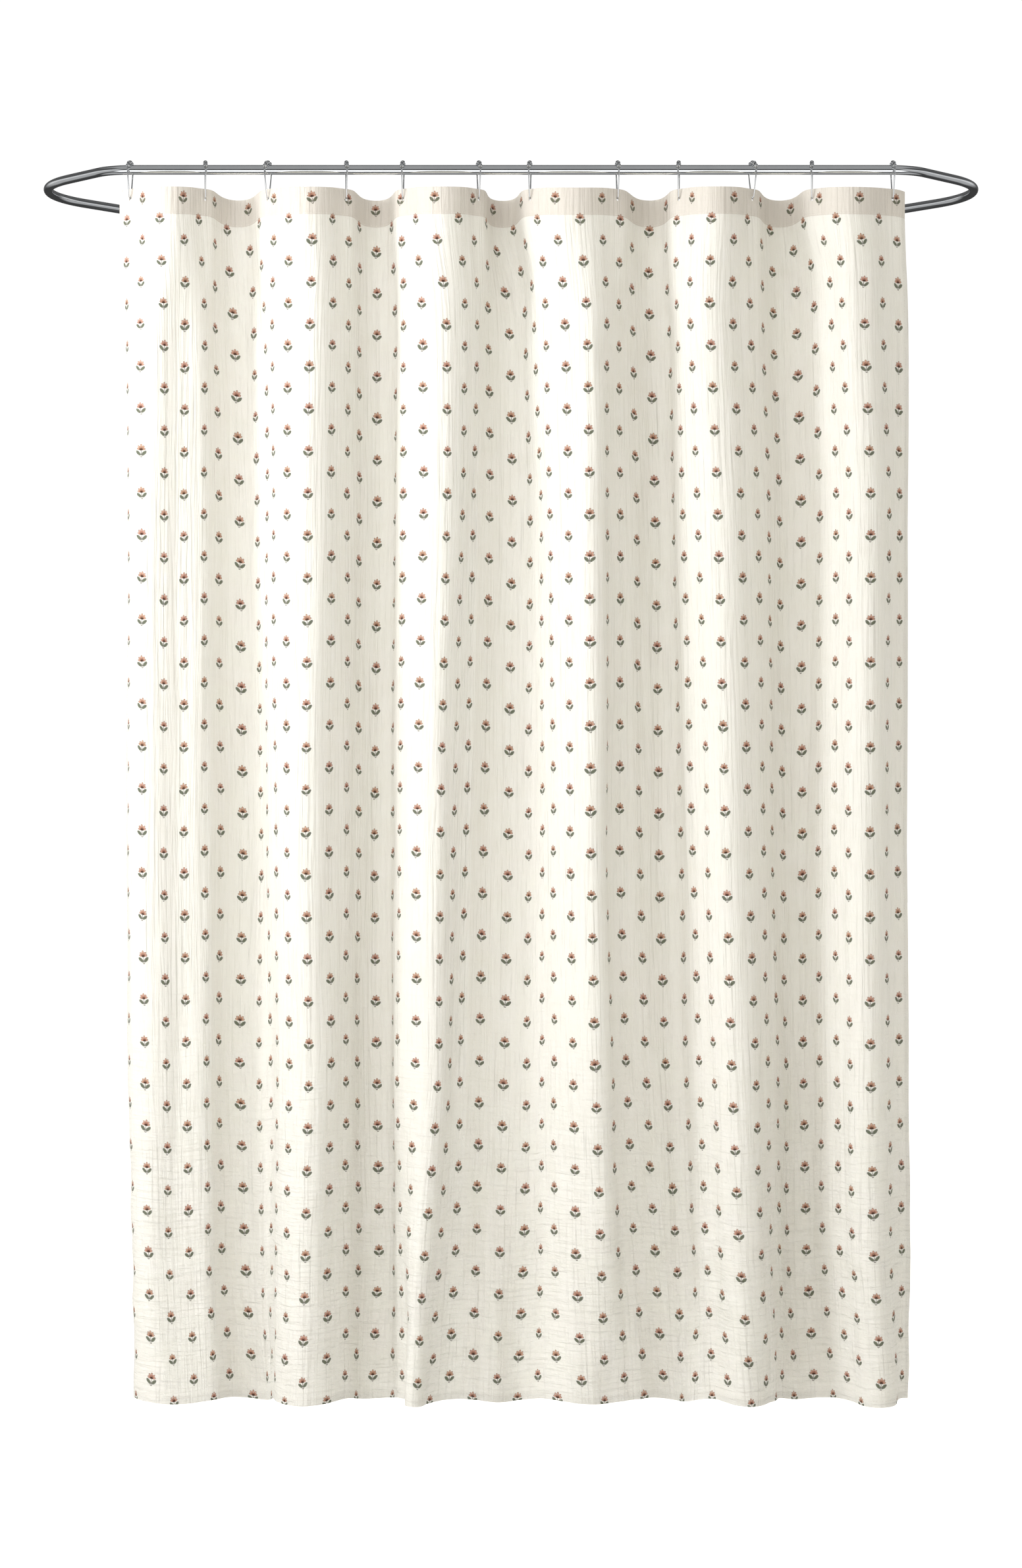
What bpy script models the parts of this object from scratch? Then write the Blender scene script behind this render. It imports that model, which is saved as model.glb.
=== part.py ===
"""A muslin shower curtain hung by twelve roller hooks from an oval ring rod.

Metres, +Z up, front towards -Y. The origin lies on the wall, midway between the
two wall flanges and level with the rod. The rear bar runs along the wall, and
the curtain hangs from the front bar.
"""

import math

import bmesh
import bpy
import numpy as np
from mathutils import Matrix, Vector

# Ring rod: a tube bent to an oval ring, in two halves that meet at the tips.
ROD_RADIUS = 0.00715
ROD_WALL = 0.0010
REAR_BAR_Y = -0.080
RING_HALF_DEPTH = 0.222
FRONT_BAR_Y = REAR_BAR_Y - 2 * RING_HALF_DEPTH
STRAIGHT_HALF = 0.572
CORNER_RADIUS = 0.070
CORNER_TURN = math.radians(52)
TIP_RADIUS = 0.2057
CORNER_STEPS = 6
TIP_STEPS = 6
TUBE_SIDES = 10
SEAM_GAP = 0.0003

# Joiners: short bars inside both halves at each tip, held by grub screws.
JOINER_RADIUS = 0.00580
JOINER_STATIONS = 2
GRUB_RADIUS = 0.0015
GRUB_HOLE_RADIUS = 0.0018
GRUB_TURN = math.radians(3.4)

# Wall brackets, one behind each end of the rear bar.
BRACKET_X = 0.42
FLANGE_RADIUS = 0.024
FLANGE_THICKNESS = 0.005
FLANGE_BEVEL = 0.0012
FLANGE_SCREW_Z = 0.015
SCREW_HEAD_RADIUS = 0.0036
SCREW_SHANK_RADIUS = 0.0019
SHANK_HOLE_RADIUS = 0.0024
SCREW_HEAD_DEPTH = 0.0018
POST_RADIUS = 0.008
SADDLE_RADIUS = 0.0115
SADDLE_BORE = ROD_RADIUS + 0.0003
SADDLE_WIDTH = 0.022
BOSS_RADIUS = 0.0095
BOSS_FACE_Y = REAR_BAR_Y + 0.020
FIT_GAP = 0.0003

# Hooks: where each hangs on the front bar, and how far it is turned about Z.
HOOK_X = (-0.5757, -0.4621, -0.3674, -0.2489, -0.1635, -0.0488,
          0.0285, 0.1612, 0.2536, 0.3651, 0.4550, 0.5773)
HOOK_YAW_DEG = (13, -6, 21, -6, 6, -12, 8, -8, 6, -24, 6, -8)
WIRE_RADIUS = 0.00105
WIRE_SIDES = 6
ARC_RADIUS = 0.0130
ARC_CENTRE_Z = -0.0020
LOOP_BOTTOM_Z = -0.0435
LOOP_END_RADIUS = 0.0045
BEAD_RADIUS = 0.0031
BEAD_NECK_RADIUS = 0.0022
BEAD_BORE = WIRE_RADIUS + 0.0003
BEADS_PER_HOOK = 5
BEAD_STEP = math.radians(14.1)

# Curtain: a square of cloth, 72 inches each way, with folded hems.
CLOTH_WIDTH = 1.8288
CLOTH_HEIGHT = 1.8288
END_MARGIN = 0.0254
HOOK_PITCH = (CLOTH_WIDTH - 2 * END_MARGIN) / (len(HOOK_X) - 1)
CLOTH_TOP_Z = -0.029
CREST_SAG = 0.004
VALLEY_SAG = 0.0085
PANEL_THICKNESS = 0.0010
FACING_THICKNESS = 0.0008
HEADER_HEIGHT = 0.041
BOTTOM_HEM_HEIGHT = 0.011
SIDE_HEM_WIDTH = 0.008
HEM_GAP = 0.0003

# Below the hooks the folds hang on by themselves: how far below the top edge, where
# the first fold line lies in X, and the width of each of the eleven folds.
FOLD_LEVELS = (
    (0.13, -0.577, (0.120, 0.091, 0.119, 0.088, 0.114, 0.088, 0.115, 0.094, 0.115, 0.105, 0.107)),
    (0.70, -0.575, (0.124, 0.091, 0.106, 0.095, 0.108, 0.108, 0.104, 0.111, 0.111, 0.099, 0.102)),
    (1.00, -0.579, (0.124, 0.093, 0.112, 0.083, 0.106, 0.118, 0.104, 0.116, 0.108, 0.094, 0.103)),
    (1.30, -0.576, (0.124, 0.095, 0.105, 0.085, 0.099, 0.127, 0.111, 0.117, 0.105, 0.091, 0.101)),
    (1.60, -0.570, (0.122, 0.088, 0.104, 0.092, 0.090, 0.132, 0.126, 0.113, 0.099, 0.090, 0.101)),
    (1.83, -0.564, (0.124, 0.078, 0.104, 0.096, 0.080, 0.142, 0.138, 0.109, 0.095, 0.097, 0.089)),
)
WALL_FLATNESS = 1.5
PINCH = 0.45
PINCH_WIDTH = 0.014
PINCH_DEPTH = 0.25
BALANCE_DEPTH = 0.4
FINE_STEPS = 720
SPAN_STEPS = 6
SOLVER_ROUNDS = 80
SOLVER_GAIN = 5.0

# Buttonholes: a tall slit at each hook, with a stitched rim.
HOLE_HALF_WIDTH = 0.0050
HOLE_TOP = 0.0105
HOLE_BOTTOM = 0.0195
RIM_CLEARANCE = 0.0003
RIM_WIDTH = 0.0015
RIM_THICKNESS = 0.0024

CHROME = ("chrome", (0.72, 0.72, 0.73), 0.12, 1.0)
STEEL = ("screw_steel", (0.50, 0.50, 0.50), 0.35, 1.0)
MUSLIN = ("muslin", (0.86, 0.84, 0.77), 0.90, 0.0)
HEM_CLOTH = ("hem_cloth", (0.78, 0.72, 0.65), 0.90, 0.0)
THREAD = ("thread", (0.80, 0.76, 0.68), 0.80, 0.0)


def clear_scene():
    for obj in list(bpy.data.objects):
        bpy.data.objects.remove(obj, do_unlink=True)


def material(finish):
    name, colour, roughness, metallic = finish
    made = bpy.data.materials.get(name)
    if made is None:
        made = bpy.data.materials.new(name)
        made.use_nodes = True
        shader = made.node_tree.nodes["Principled BSDF"]
        shader.inputs["Base Color"].default_value = (*colour, 1.0)
        shader.inputs["Roughness"].default_value = roughness
        shader.inputs["Metallic"].default_value = metallic
    return made


def new_object(name, bm, finish, smooth=True):
    """An object from bm, with its normals pointing out."""
    bmesh.ops.recalc_face_normals(bm, faces=bm.faces)
    mesh = bpy.data.meshes.new(name)
    bm.to_mesh(mesh)
    bm.free()
    obj = bpy.data.objects.new(name, mesh)
    bpy.context.scene.collection.objects.link(obj)
    obj.data.materials.append(material(finish))
    if smooth:
        mesh.shade_smooth()
        mesh.set_sharp_from_angle(angle=math.radians(40))
    return obj


def cylinder(name, radius, start, end, finish, sides=24, end_radius=None):
    """A round bar or a cone from start to end."""
    start, end = Vector(start), Vector(end)
    along = end - start
    turn = along.to_track_quat("Z", "Y").to_matrix().to_4x4()
    place = Matrix.Translation((start + end) / 2) @ turn
    bm = bmesh.new()
    bmesh.ops.create_cone(bm, cap_ends=True, segments=sides, radius1=radius,
                          radius2=radius if end_radius is None else end_radius,
                          depth=along.length, matrix=place)
    return new_object(name, bm, finish)


def combine(obj, other, operation):
    """A live Boolean of obj with a hidden helper."""
    other.hide_render = True
    other.display_type = "WIRE"
    modifier = obj.modifiers.new(operation.title(), "BOOLEAN")
    modifier.operation = operation
    modifier.solver = "EXACT"
    modifier.object = other


# Sweeps: bars and tubes along a path, each point with two cross directions.

def ring_of(bm, point, across, up, radius, sides):
    return [bm.verts.new(point + radius * (math.cos(a) * across + math.sin(a) * up))
            for a in (2 * math.pi * k / sides for k in range(sides))]


def skin(bm, rings, closed=False):
    """The wall between rings of equal size."""
    following = rings[1:] + rings[:1] if closed else rings[1:]
    for first, second in zip(rings, following):
        for k in range(len(first)):
            after = (k + 1) % len(first)
            bm.faces.new((first[k], first[after], second[after], second[k]))


def sweep_bar(bm, stations, radius, sides, closed=False):
    rings = [ring_of(bm, p, a, u, radius, sides) for p, a, u in stations]
    skin(bm, rings, closed)
    if not closed:
        bm.faces.new(rings[0])
        bm.faces.new(rings[-1])


def sweep_tube(bm, stations, outer_radii, bore, sides):
    """A tube with a bore, whose outer radius may change along its length."""
    outer = [ring_of(bm, p, a, u, r, sides) for (p, a, u), r in zip(stations, outer_radii)]
    inner = [ring_of(bm, p, a, u, bore, sides) for p, a, u in stations]
    skin(bm, outer)
    skin(bm, inner)
    for end in (0, -1):
        skin(bm, [outer[end], inner[end]])


# The ring rod.

def ring_station(x, depth, heading, side):
    """A point of the ring on the right (side 1) or left, depth behind the front bar."""
    point = Vector((side * x, FRONT_BAR_Y + depth, 0.0))
    outward = Vector((side * math.sin(heading), -math.cos(heading), 0.0))
    return point, outward, Vector((0, 0, 1))


def tip_centre():
    """X of the tip arc's centre, and the straight length before that arc."""
    drop = RING_HALF_DEPTH - CORNER_RADIUS * (1 - math.cos(CORNER_TURN))
    slant = (drop - TIP_RADIUS * math.cos(CORNER_TURN)) / math.sin(CORNER_TURN)
    x = STRAIGHT_HALF + CORNER_RADIUS * math.sin(CORNER_TURN) + slant * math.cos(CORNER_TURN)
    return x - TIP_RADIUS * math.sin(CORNER_TURN)


def quarter_ring():
    """(x, depth, heading) from the end of the straight bar to the tip."""
    found = []
    for k in range(CORNER_STEPS + 1):
        turn = CORNER_TURN * k / CORNER_STEPS
        found.append((STRAIGHT_HALF + CORNER_RADIUS * math.sin(turn),
                      CORNER_RADIUS * (1 - math.cos(turn)), turn))
    centre = tip_centre()
    last = math.pi / 2 - SEAM_GAP / 2 / TIP_RADIUS
    for k in range(TIP_STEPS + 1):
        turn = CORNER_TURN + (math.pi / 2 - CORNER_TURN) * k / TIP_STEPS
        turn = min(turn, last)
        found.append((centre + TIP_RADIUS * math.sin(turn),
                      RING_HALF_DEPTH - TIP_RADIUS * math.cos(turn), turn))
    return found


def half_ring_stations(rear):
    quarter = quarter_ring()
    left = [ring_station(x, d, h, -1) for x, d, h in reversed(quarter)]
    right = [ring_station(x, d, h, 1) for x, d, h in quarter]
    stations = left + right
    if not rear:
        return stations
    behind = 2 * REAR_BAR_Y - 2 * RING_HALF_DEPTH
    return [(Vector((p.x, behind - p.y, 0)), Vector((a.x, -a.y, 0)), u) for p, a, u in stations]


def grub_place(side, rear):
    """Where a grub screw stands on the tip arc, seen in plan."""
    turn = math.pi / 2 + (GRUB_TURN if rear else -GRUB_TURN)
    x = tip_centre() + TIP_RADIUS * math.sin(turn)
    return side * x, FRONT_BAR_Y + RING_HALF_DEPTH - TIP_RADIUS * math.cos(turn)


def make_rod_half(name, rear):
    stations = half_ring_stations(rear)
    bm = bmesh.new()
    sweep_tube(bm, stations, [ROD_RADIUS] * len(stations), ROD_RADIUS - ROD_WALL, TUBE_SIDES)
    tube = new_object(name, bm, CHROME)
    for side in (-1, 1):
        x, y = grub_place(side, rear)
        hole = cylinder(f"{name}_hole_{side}", GRUB_HOLE_RADIUS, (x, y, 0.004), (x, y, 0.010),
                        CHROME, sides=12)
        combine(tube, hole, "DIFFERENCE")


def make_joiner(name, side):
    centre = tip_centre()
    step = (math.pi / 2 - CORNER_TURN) / TIP_STEPS
    stations = []
    for k in range(-JOINER_STATIONS, JOINER_STATIONS + 1):
        turn = math.pi / 2 + k * step
        stations.append(ring_station(centre + TIP_RADIUS * math.sin(turn),
                                     RING_HALF_DEPTH - TIP_RADIUS * math.cos(turn), turn, side))
    bm = bmesh.new()
    sweep_bar(bm, stations, JOINER_RADIUS, TUBE_SIDES)
    new_object(name, bm, STEEL)


def make_joiner_screws():
    number = 0
    for side in (-1, 1):
        for rear in (False, True):
            number += 1
            x, y = grub_place(side, rear)
            cylinder(f"joiner_screw_{number}", GRUB_RADIUS, (x, y, JOINER_RADIUS + FIT_GAP),
                     (x, y, ROD_RADIUS), STEEL, sides=12)


def make_ring_rod():
    make_rod_half("ring_rod_front_half", rear=False)
    make_rod_half("ring_rod_rear_half", rear=True)
    make_joiner("rod_joiner_left", -1)
    make_joiner("rod_joiner_right", 1)
    make_joiner_screws()


# Wall brackets.

def make_flange(name, x):
    flange = cylinder(name, FLANGE_RADIUS, (x, -FLANGE_THICKNESS, 0), (x, 0, 0), CHROME, sides=28)
    bevel = flange.modifiers.new("Rim", "BEVEL")
    bevel.width = FLANGE_BEVEL
    bevel.limit_method = "ANGLE"
    for up in (-1, 1):
        z = up * FLANGE_SCREW_Z
        head = cylinder(f"{name}_sink_{up}", SCREW_HEAD_RADIUS + 2 * FIT_GAP,
                        (x, -FLANGE_THICKNESS - FIT_GAP, z),
                        (x, -FLANGE_THICKNESS + SCREW_HEAD_DEPTH + FIT_GAP, z), CHROME,
                        sides=16, end_radius=SCREW_SHANK_RADIUS + FIT_GAP)
        shank = cylinder(f"{name}_hole_{up}", SHANK_HOLE_RADIUS,
                         (x, -FLANGE_THICKNESS, z), (x, FIT_GAP, z), CHROME, sides=16)
        combine(flange, head, "DIFFERENCE")
        combine(flange, shank, "DIFFERENCE")


def make_flange_screw(name, x, z):
    """A countersunk screw, drawn only as deep as the flange."""
    profile = ((0, 0), (SCREW_HEAD_RADIUS, 0), (SCREW_SHANK_RADIUS, SCREW_HEAD_DEPTH),
               (SCREW_SHANK_RADIUS, FLANGE_THICKNESS - FIT_GAP), (0, FLANGE_THICKNESS - FIT_GAP))
    bm = bmesh.new()
    points = [bm.verts.new((x + r, -FLANGE_THICKNESS + d, z)) for r, d in profile]
    edges = [bm.edges.new(pair) for pair in zip(points, points[1:])]
    bmesh.ops.spin(bm, geom=points + edges, cent=(x, 0, z), axis=(0, 1, 0),
                   angle=2 * math.pi, steps=16)
    bmesh.ops.remove_doubles(bm, verts=bm.verts, dist=0.00002)
    new_object(name, bm, STEEL)


def make_saddle(name, x):
    half = SADDLE_WIDTH / 2
    saddle = cylinder(name, SADDLE_RADIUS, (x - half, REAR_BAR_Y, 0), (x + half, REAR_BAR_Y, 0),
                      CHROME, sides=24)
    boss = cylinder(f"{name}_boss", BOSS_RADIUS, (x, REAR_BAR_Y + 0.001, 0), (x, BOSS_FACE_Y, 0),
                    CHROME, sides=24)
    bore = cylinder(f"{name}_bore", SADDLE_BORE / math.cos(math.pi / 24),
                    (x - SADDLE_WIDTH, REAR_BAR_Y, 0), (x + SADDLE_WIDTH, REAR_BAR_Y, 0),
                    CHROME, sides=24)
    combine(saddle, boss, "UNION")
    combine(saddle, bore, "DIFFERENCE")


def make_brackets():
    number = 0
    for side, x in (("left", -BRACKET_X), ("right", BRACKET_X)):
        make_flange(f"wall_flange_{side}", x)
        cylinder(f"wall_post_{side}", POST_RADIUS, (x, -FLANGE_THICKNESS - FIT_GAP, 0),
                 (x, BOSS_FACE_Y + FIT_GAP, 0), CHROME)
        make_saddle(f"rod_saddle_{side}", x)
        for z in (FLANGE_SCREW_Z, -FLANGE_SCREW_Z):
            number += 1
            make_flange_screw(f"flange_screw_{number}", x, z)


# Hooks: a closed pear of wire in a vertical plane, with beads over the bar.

def loop_outline():
    """(across, z) round the pear: the bead arc, a leg, the small end, a leg."""
    steps = BEADS_PER_HOOK + 2
    end_z = LOOP_BOTTOM_Z + LOOP_END_RADIUS
    points = [(ARC_RADIUS * math.sin(k * BEAD_STEP), ARC_CENTRE_Z + ARC_RADIUS * math.cos(k * BEAD_STEP))
              for k in range(-steps, steps + 1)]
    for k in range(7):
        turn = math.pi / 2 + math.pi * k / 6
        points.append((LOOP_END_RADIUS * math.sin(turn), end_z + LOOP_END_RADIUS * math.cos(turn)))
    return points


def loop_stations(outline, x, yaw, closed):
    """Stations on the outline, in the hook's turned plane. Front is negative across."""
    rearward = Vector((math.sin(yaw), math.cos(yaw), 0))
    sideways = Vector((math.cos(yaw), -math.sin(yaw), 0))
    foot = Vector((x, FRONT_BAR_Y, 0))
    count = len(outline)
    stations = []
    for k, (across, z) in enumerate(outline):
        before = outline[k - 1] if closed or k else outline[k]
        after = outline[(k + 1) % count] if closed or k < count - 1 else outline[k]
        along = ((after[0] - before[0]) * rearward + (after[1] - before[1]) * Vector((0, 0, 1)))
        normal = along.normalized().cross(sideways)
        stations.append((foot + across * rearward + z * Vector((0, 0, 1)), sideways, normal))
    return stations


def bead_stations(x, yaw):
    """Stations over the bar, from the first bead's edge to the last one's."""
    rearward = Vector((math.sin(yaw), math.cos(yaw), 0))
    sideways = Vector((math.cos(yaw), -math.sin(yaw), 0))
    stations = []
    for k in range(-BEADS_PER_HOOK, BEADS_PER_HOOK + 1):
        turn = k * BEAD_STEP
        outward = math.sin(turn) * rearward + math.cos(turn) * Vector((0, 0, 1))
        centre = Vector((x, FRONT_BAR_Y, ARC_CENTRE_Z))
        along = math.cos(turn) * rearward - math.sin(turn) * Vector((0, 0, 1))
        stations.append((centre + ARC_RADIUS * outward, sideways, along.cross(sideways)))
    return stations


def make_hook(number, x, yaw):
    bm = bmesh.new()
    sweep_bar(bm, loop_stations(loop_outline(), x, yaw, True), WIRE_RADIUS, WIRE_SIDES, closed=True)
    new_object(f"hook_{number:02d}_wire", bm, CHROME)
    radii = [BEAD_NECK_RADIUS if k % 2 == 0 else BEAD_RADIUS
             for k in range(2 * BEADS_PER_HOOK + 1)]
    bm = bmesh.new()
    sweep_tube(bm, bead_stations(x, yaw), radii, BEAD_BORE, WIRE_SIDES)
    new_object(f"hook_{number:02d}_rollers", bm, CHROME)


# The hanging cloth: each level is a line of constant length whose heading swings
# between crests, which come forward, and valleys, which go back.

FINE_U = np.linspace(0, CLOTH_WIDTH, FINE_STEPS + 1)
HOOK_U = END_MARGIN + HOOK_PITCH * np.arange(len(HOOK_X))
MIDDLE_U = (HOOK_U[1:] + HOOK_U[:-1]) / 2


def swing_shape(pinch):
    """The heading per unit of fold strength: -1 entering a crest, +1 leaving it.

    The walls of a fold are flatter than its turns, and a hook pinches the cloth
    square to its wire.
    """
    wave = -np.cos(np.pi * (FINE_U - HOOK_U[0]) / HOOK_PITCH)
    walls = np.tanh(WALL_FLATNESS * wave) / math.tanh(WALL_FLATNESS)
    nearest = np.abs(FINE_U[:, None] - HOOK_U[None, :]).min(axis=1)
    return walls * (1 - pinch * np.exp(-((nearest / PINCH_WIDTH) ** 2)))


def running_sum(values):
    """The integral of values along the cloth, from its left edge."""
    step = FINE_U[1]
    return np.concatenate([[0], np.cumsum((values[1:] + values[:-1]) / 2) * step])


def fold_heading(gaps, pinch):
    """The heading along the cloth that leaves its hook lines these gaps apart."""
    shape = swing_shape(pinch)
    strengths = np.arccos(gaps / HOOK_PITCH)
    for _ in range(SOLVER_ROUNDS):
        heading = shape * np.interp(FINE_U, MIDDLE_U, strengths)
        x = np.interp(HOOK_U, FINE_U, running_sum(np.cos(heading)))
        strengths = strengths + SOLVER_GAIN * (np.diff(x) - gaps)
    return heading


def level(v):
    """X, Y and heading along the cloth, at v below its top edge."""
    depths = [HEADER_HEIGHT] + [depth for depth, _, _ in FOLD_LEVELS]
    widths = np.array([np.diff(HOOK_X)] + [row for _, _, row in FOLD_LEVELS])
    gaps = np.array([np.interp(v, depths, column) for column in widths.T])
    heading = fold_heading(gaps, PINCH * max(0.0, 1 - v / PINCH_DEPTH))
    x = running_sum(np.cos(heading))
    y = running_sum(np.sin(heading))
    first = np.interp(v, depths, [HOOK_X[0]] + [left for _, left, _ in FOLD_LEVELS])
    x += first - np.interp(HOOK_U[0], FINE_U, x)
    y -= np.interp(FINE_U, HOOK_U, np.interp(HOOK_U, FINE_U, y))
    y -= min(v / BALANCE_DEPTH, 1.0) * y.mean()
    return x, y + FRONT_BAR_Y, heading


def top_dip(u):
    """How far the top edge sags between its hooks."""
    place = (u - HOOK_U[0]) / HOOK_PITCH
    sag = CREST_SAG if math.floor(place) % 2 == 0 else VALLEY_SAG
    return sag * math.sin(math.pi * place) ** 2


def cloth_solid(name, columns, rows, centre, thickness, finish, holes=()):
    """A thin closed sheet on the cloth's surface, centre behind it, with holes.

    holes lists (low u, high u, low v, high v); a cell inside one is left out.
    """
    bm = bmesh.new()
    layers = []
    levels = [level(v) for v in rows]
    for offset in (centre - thickness / 2, centre + thickness / 2):
        grid = []
        for v, (xs, ys, headings) in zip(rows, levels):
            row = []
            for u in columns:
                heading = float(np.interp(u, FINE_U, headings))
                x = float(np.interp(u, FINE_U, xs)) - offset * math.sin(heading)
                y = float(np.interp(u, FINE_U, ys)) + offset * math.cos(heading)
                row.append(bm.verts.new((x, y, CLOTH_TOP_Z - top_dip(u) - v)))
            grid.append(row)
        layers.append(grid)
    for r in range(len(rows) - 1):
        for c in range(len(columns) - 1):
            u, v = (columns[c] + columns[c + 1]) / 2, (rows[r] + rows[r + 1]) / 2
            if any(a < u < b and e < v < f for a, b, e, f in holes):
                continue
            for grid in layers:
                bm.faces.new((grid[r][c], grid[r][c + 1], grid[r + 1][c + 1], grid[r + 1][c]))
    bm.verts.index_update()
    partner = {}
    for front_row, back_row in zip(*layers):
        partner.update(zip(front_row, back_row))
    rims = [edge for edge in bm.edges if len(edge.link_faces) == 1 and edge.verts[0] in partner]
    for edge in rims:
        a, b = edge.verts
        bm.faces.new((a, b, partner[b], partner[a]))
    bmesh.ops.delete(bm, geom=[v for v in bm.verts if not v.link_faces], context="VERTS")
    new_object(name, bm, finish)


def column_places():
    """Columns along the cloth: hole edges at each hook, and even steps between."""
    places = [0.0, SIDE_HEM_WIDTH]
    for number, u in enumerate(HOOK_U):
        places += [u - HOLE_HALF_WIDTH, u + HOLE_HALF_WIDTH]
        if number + 1 < len(HOOK_U):
            start, end = u + HOLE_HALF_WIDTH, HOOK_U[number + 1] - HOLE_HALF_WIDTH
            places += [start + (end - start) * k / SPAN_STEPS for k in range(1, SPAN_STEPS)]
    return [float(u) for u in places + [CLOTH_WIDTH - SIDE_HEM_WIDTH, CLOTH_WIDTH]]


def make_curtain():
    columns = column_places()
    holes = [(u - HOLE_HALF_WIDTH, u + HOLE_HALF_WIDTH, HOLE_TOP, HOLE_BOTTOM) for u in HOOK_U]
    hem_top = CLOTH_HEIGHT - BOTTOM_HEM_HEIGHT
    header_rows = [0.0, HOLE_TOP, HOLE_BOTTOM, HEADER_HEIGHT]
    body_rows = [0.13, 0.40, 0.70, 1.00, 1.30, 1.45, 1.60, hem_top]
    cloth_solid("curtain_panel", columns, header_rows + body_rows + [CLOTH_HEIGHT], 0.0,
                PANEL_THICKNESS, MUSLIN, holes)
    behind = PANEL_THICKNESS / 2 + HEM_GAP + FACING_THICKNESS / 2
    cloth_solid("header_facing", columns, header_rows, behind, FACING_THICKNESS, HEM_CLOTH, holes)
    cloth_solid("bottom_hem", columns, [hem_top, CLOTH_HEIGHT], behind, FACING_THICKNESS, HEM_CLOTH)
    side_rows = [HEADER_HEIGHT + HEM_GAP] + body_rows[:-1] + [hem_top - HEM_GAP]
    cloth_solid("side_hem_left", [0.0, SIDE_HEM_WIDTH], side_rows, behind, FACING_THICKNESS,
                HEM_CLOTH)
    cloth_solid("side_hem_right", [CLOTH_WIDTH - SIDE_HEM_WIDTH, CLOTH_WIDTH], side_rows, behind,
                FACING_THICKNESS, HEM_CLOTH)


def make_buttonhole(number, u):
    """A stitched rim set in the hole, with the wire's slit open inside it."""
    outer, inner = HOLE_HALF_WIDTH - RIM_CLEARANCE, HOLE_HALF_WIDTH - RIM_CLEARANCE - RIM_WIDTH
    top, bottom = HOLE_TOP + RIM_CLEARANCE, HOLE_BOTTOM - RIM_CLEARANCE
    columns = [u - outer, u - inner, u + inner, u + outer]
    rows = [top, top + RIM_WIDTH, bottom - RIM_WIDTH, bottom]
    middle = (HEM_GAP + FACING_THICKNESS) / 2
    cloth_solid(f"buttonhole_{number:02d}", columns, rows, middle, RIM_THICKNESS, THREAD,
                [(u - inner, u + inner, rows[1], rows[2])])


def main():
    clear_scene()
    make_ring_rod()
    make_brackets()
    make_curtain()
    for number, (x, yaw) in enumerate(zip(HOOK_X, HOOK_YAW_DEG), start=1):
        make_hook(number, x, math.radians(yaw))
        make_buttonhole(number, HOOK_U[number - 1])


main()
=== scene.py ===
"""A muslin shower curtain on an oval ring rod: the looks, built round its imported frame.

Every length is in metres unless a name says otherwise, with +Z up and the wall at Y = 0.
"""

import logging
import math
from dataclasses import dataclass, field
from enum import Enum
from typing import Any, Callable

import bpy
import numpy as np
from mathutils import Matrix, Vector


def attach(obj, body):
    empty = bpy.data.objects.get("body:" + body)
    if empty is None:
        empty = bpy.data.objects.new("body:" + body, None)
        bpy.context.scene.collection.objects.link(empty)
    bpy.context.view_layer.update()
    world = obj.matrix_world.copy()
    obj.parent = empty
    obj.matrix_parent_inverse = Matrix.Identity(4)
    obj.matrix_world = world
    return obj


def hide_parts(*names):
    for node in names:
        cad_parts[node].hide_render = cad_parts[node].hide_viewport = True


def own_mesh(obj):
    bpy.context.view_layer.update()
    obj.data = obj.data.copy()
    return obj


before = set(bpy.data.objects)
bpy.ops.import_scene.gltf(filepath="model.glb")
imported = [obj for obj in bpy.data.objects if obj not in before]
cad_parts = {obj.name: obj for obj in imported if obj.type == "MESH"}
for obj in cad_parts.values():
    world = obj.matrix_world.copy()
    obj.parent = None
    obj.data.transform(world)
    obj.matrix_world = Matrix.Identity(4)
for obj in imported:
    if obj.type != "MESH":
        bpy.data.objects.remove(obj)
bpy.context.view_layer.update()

logging.basicConfig(level=logging.INFO, format="%(message)s")
LOG = logging.getLogger("curtain")

FRONT_BAR_Y = -0.524
REAR_BAR_Y = -0.080
HOOK_X = (-0.5757, -0.4621, -0.3674, -0.2489, -0.1635, -0.0488,
          0.0285, 0.1612, 0.2536, 0.3651, 0.4550, 0.5773)
HOOK_YAW_DEG = (13, -6, 21, -6, 6, -12, 8, -8, 6, -24, 6, -8)


class Body(Enum):
    """The frame's moving bodies that pieces ride on."""

    ROD = "rod"
    DRAPE = "drape"


def hook_body(number: int) -> str:
    """The body that a hook belongs to: the first hook stays with the drape."""
    return Body.DRAPE.value if number == 1 else f"hook_{number:02d}"


# ---------------------------------------------------------------- materials


def linear(colour: str) -> tuple[float, float, float, float]:
    """Turns an sRGB hex colour into linear light.

    Args:
        colour: "#RRGGBB".

    Returns:
        Red, green, blue and an alpha of one.
    """
    shares = [int(colour[k:k + 2], 16) / 255 for k in (1, 3, 5)]
    red, green, blue = [s / 12.92 if s <= 0.04045 else ((s + 0.055) / 1.055) ** 2.4 for s in shares]
    return red, green, blue, 1.0


def add_node(tree: bpy.types.NodeTree, kind: str, settings: dict[str, Any] | None = None,
             inputs: dict[Any, Any] | None = None) -> bpy.types.Node:
    """Adds a node with its settings, constants and links.

    Args:
        tree: The node tree.
        kind: The node's Blender type.
        settings: Attributes of the node.
        inputs: Constants or source sockets, by input name or number.

    Returns:
        The new node.
    """
    node = tree.nodes.new(kind)
    for name, value in (settings or {}).items():
        setattr(node, name, value)
    for name, value in (inputs or {}).items():
        if isinstance(value, bpy.types.NodeSocket):
            tree.links.new(value, node.inputs[name])
        else:
            node.inputs[name].default_value = value
    return node


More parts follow.
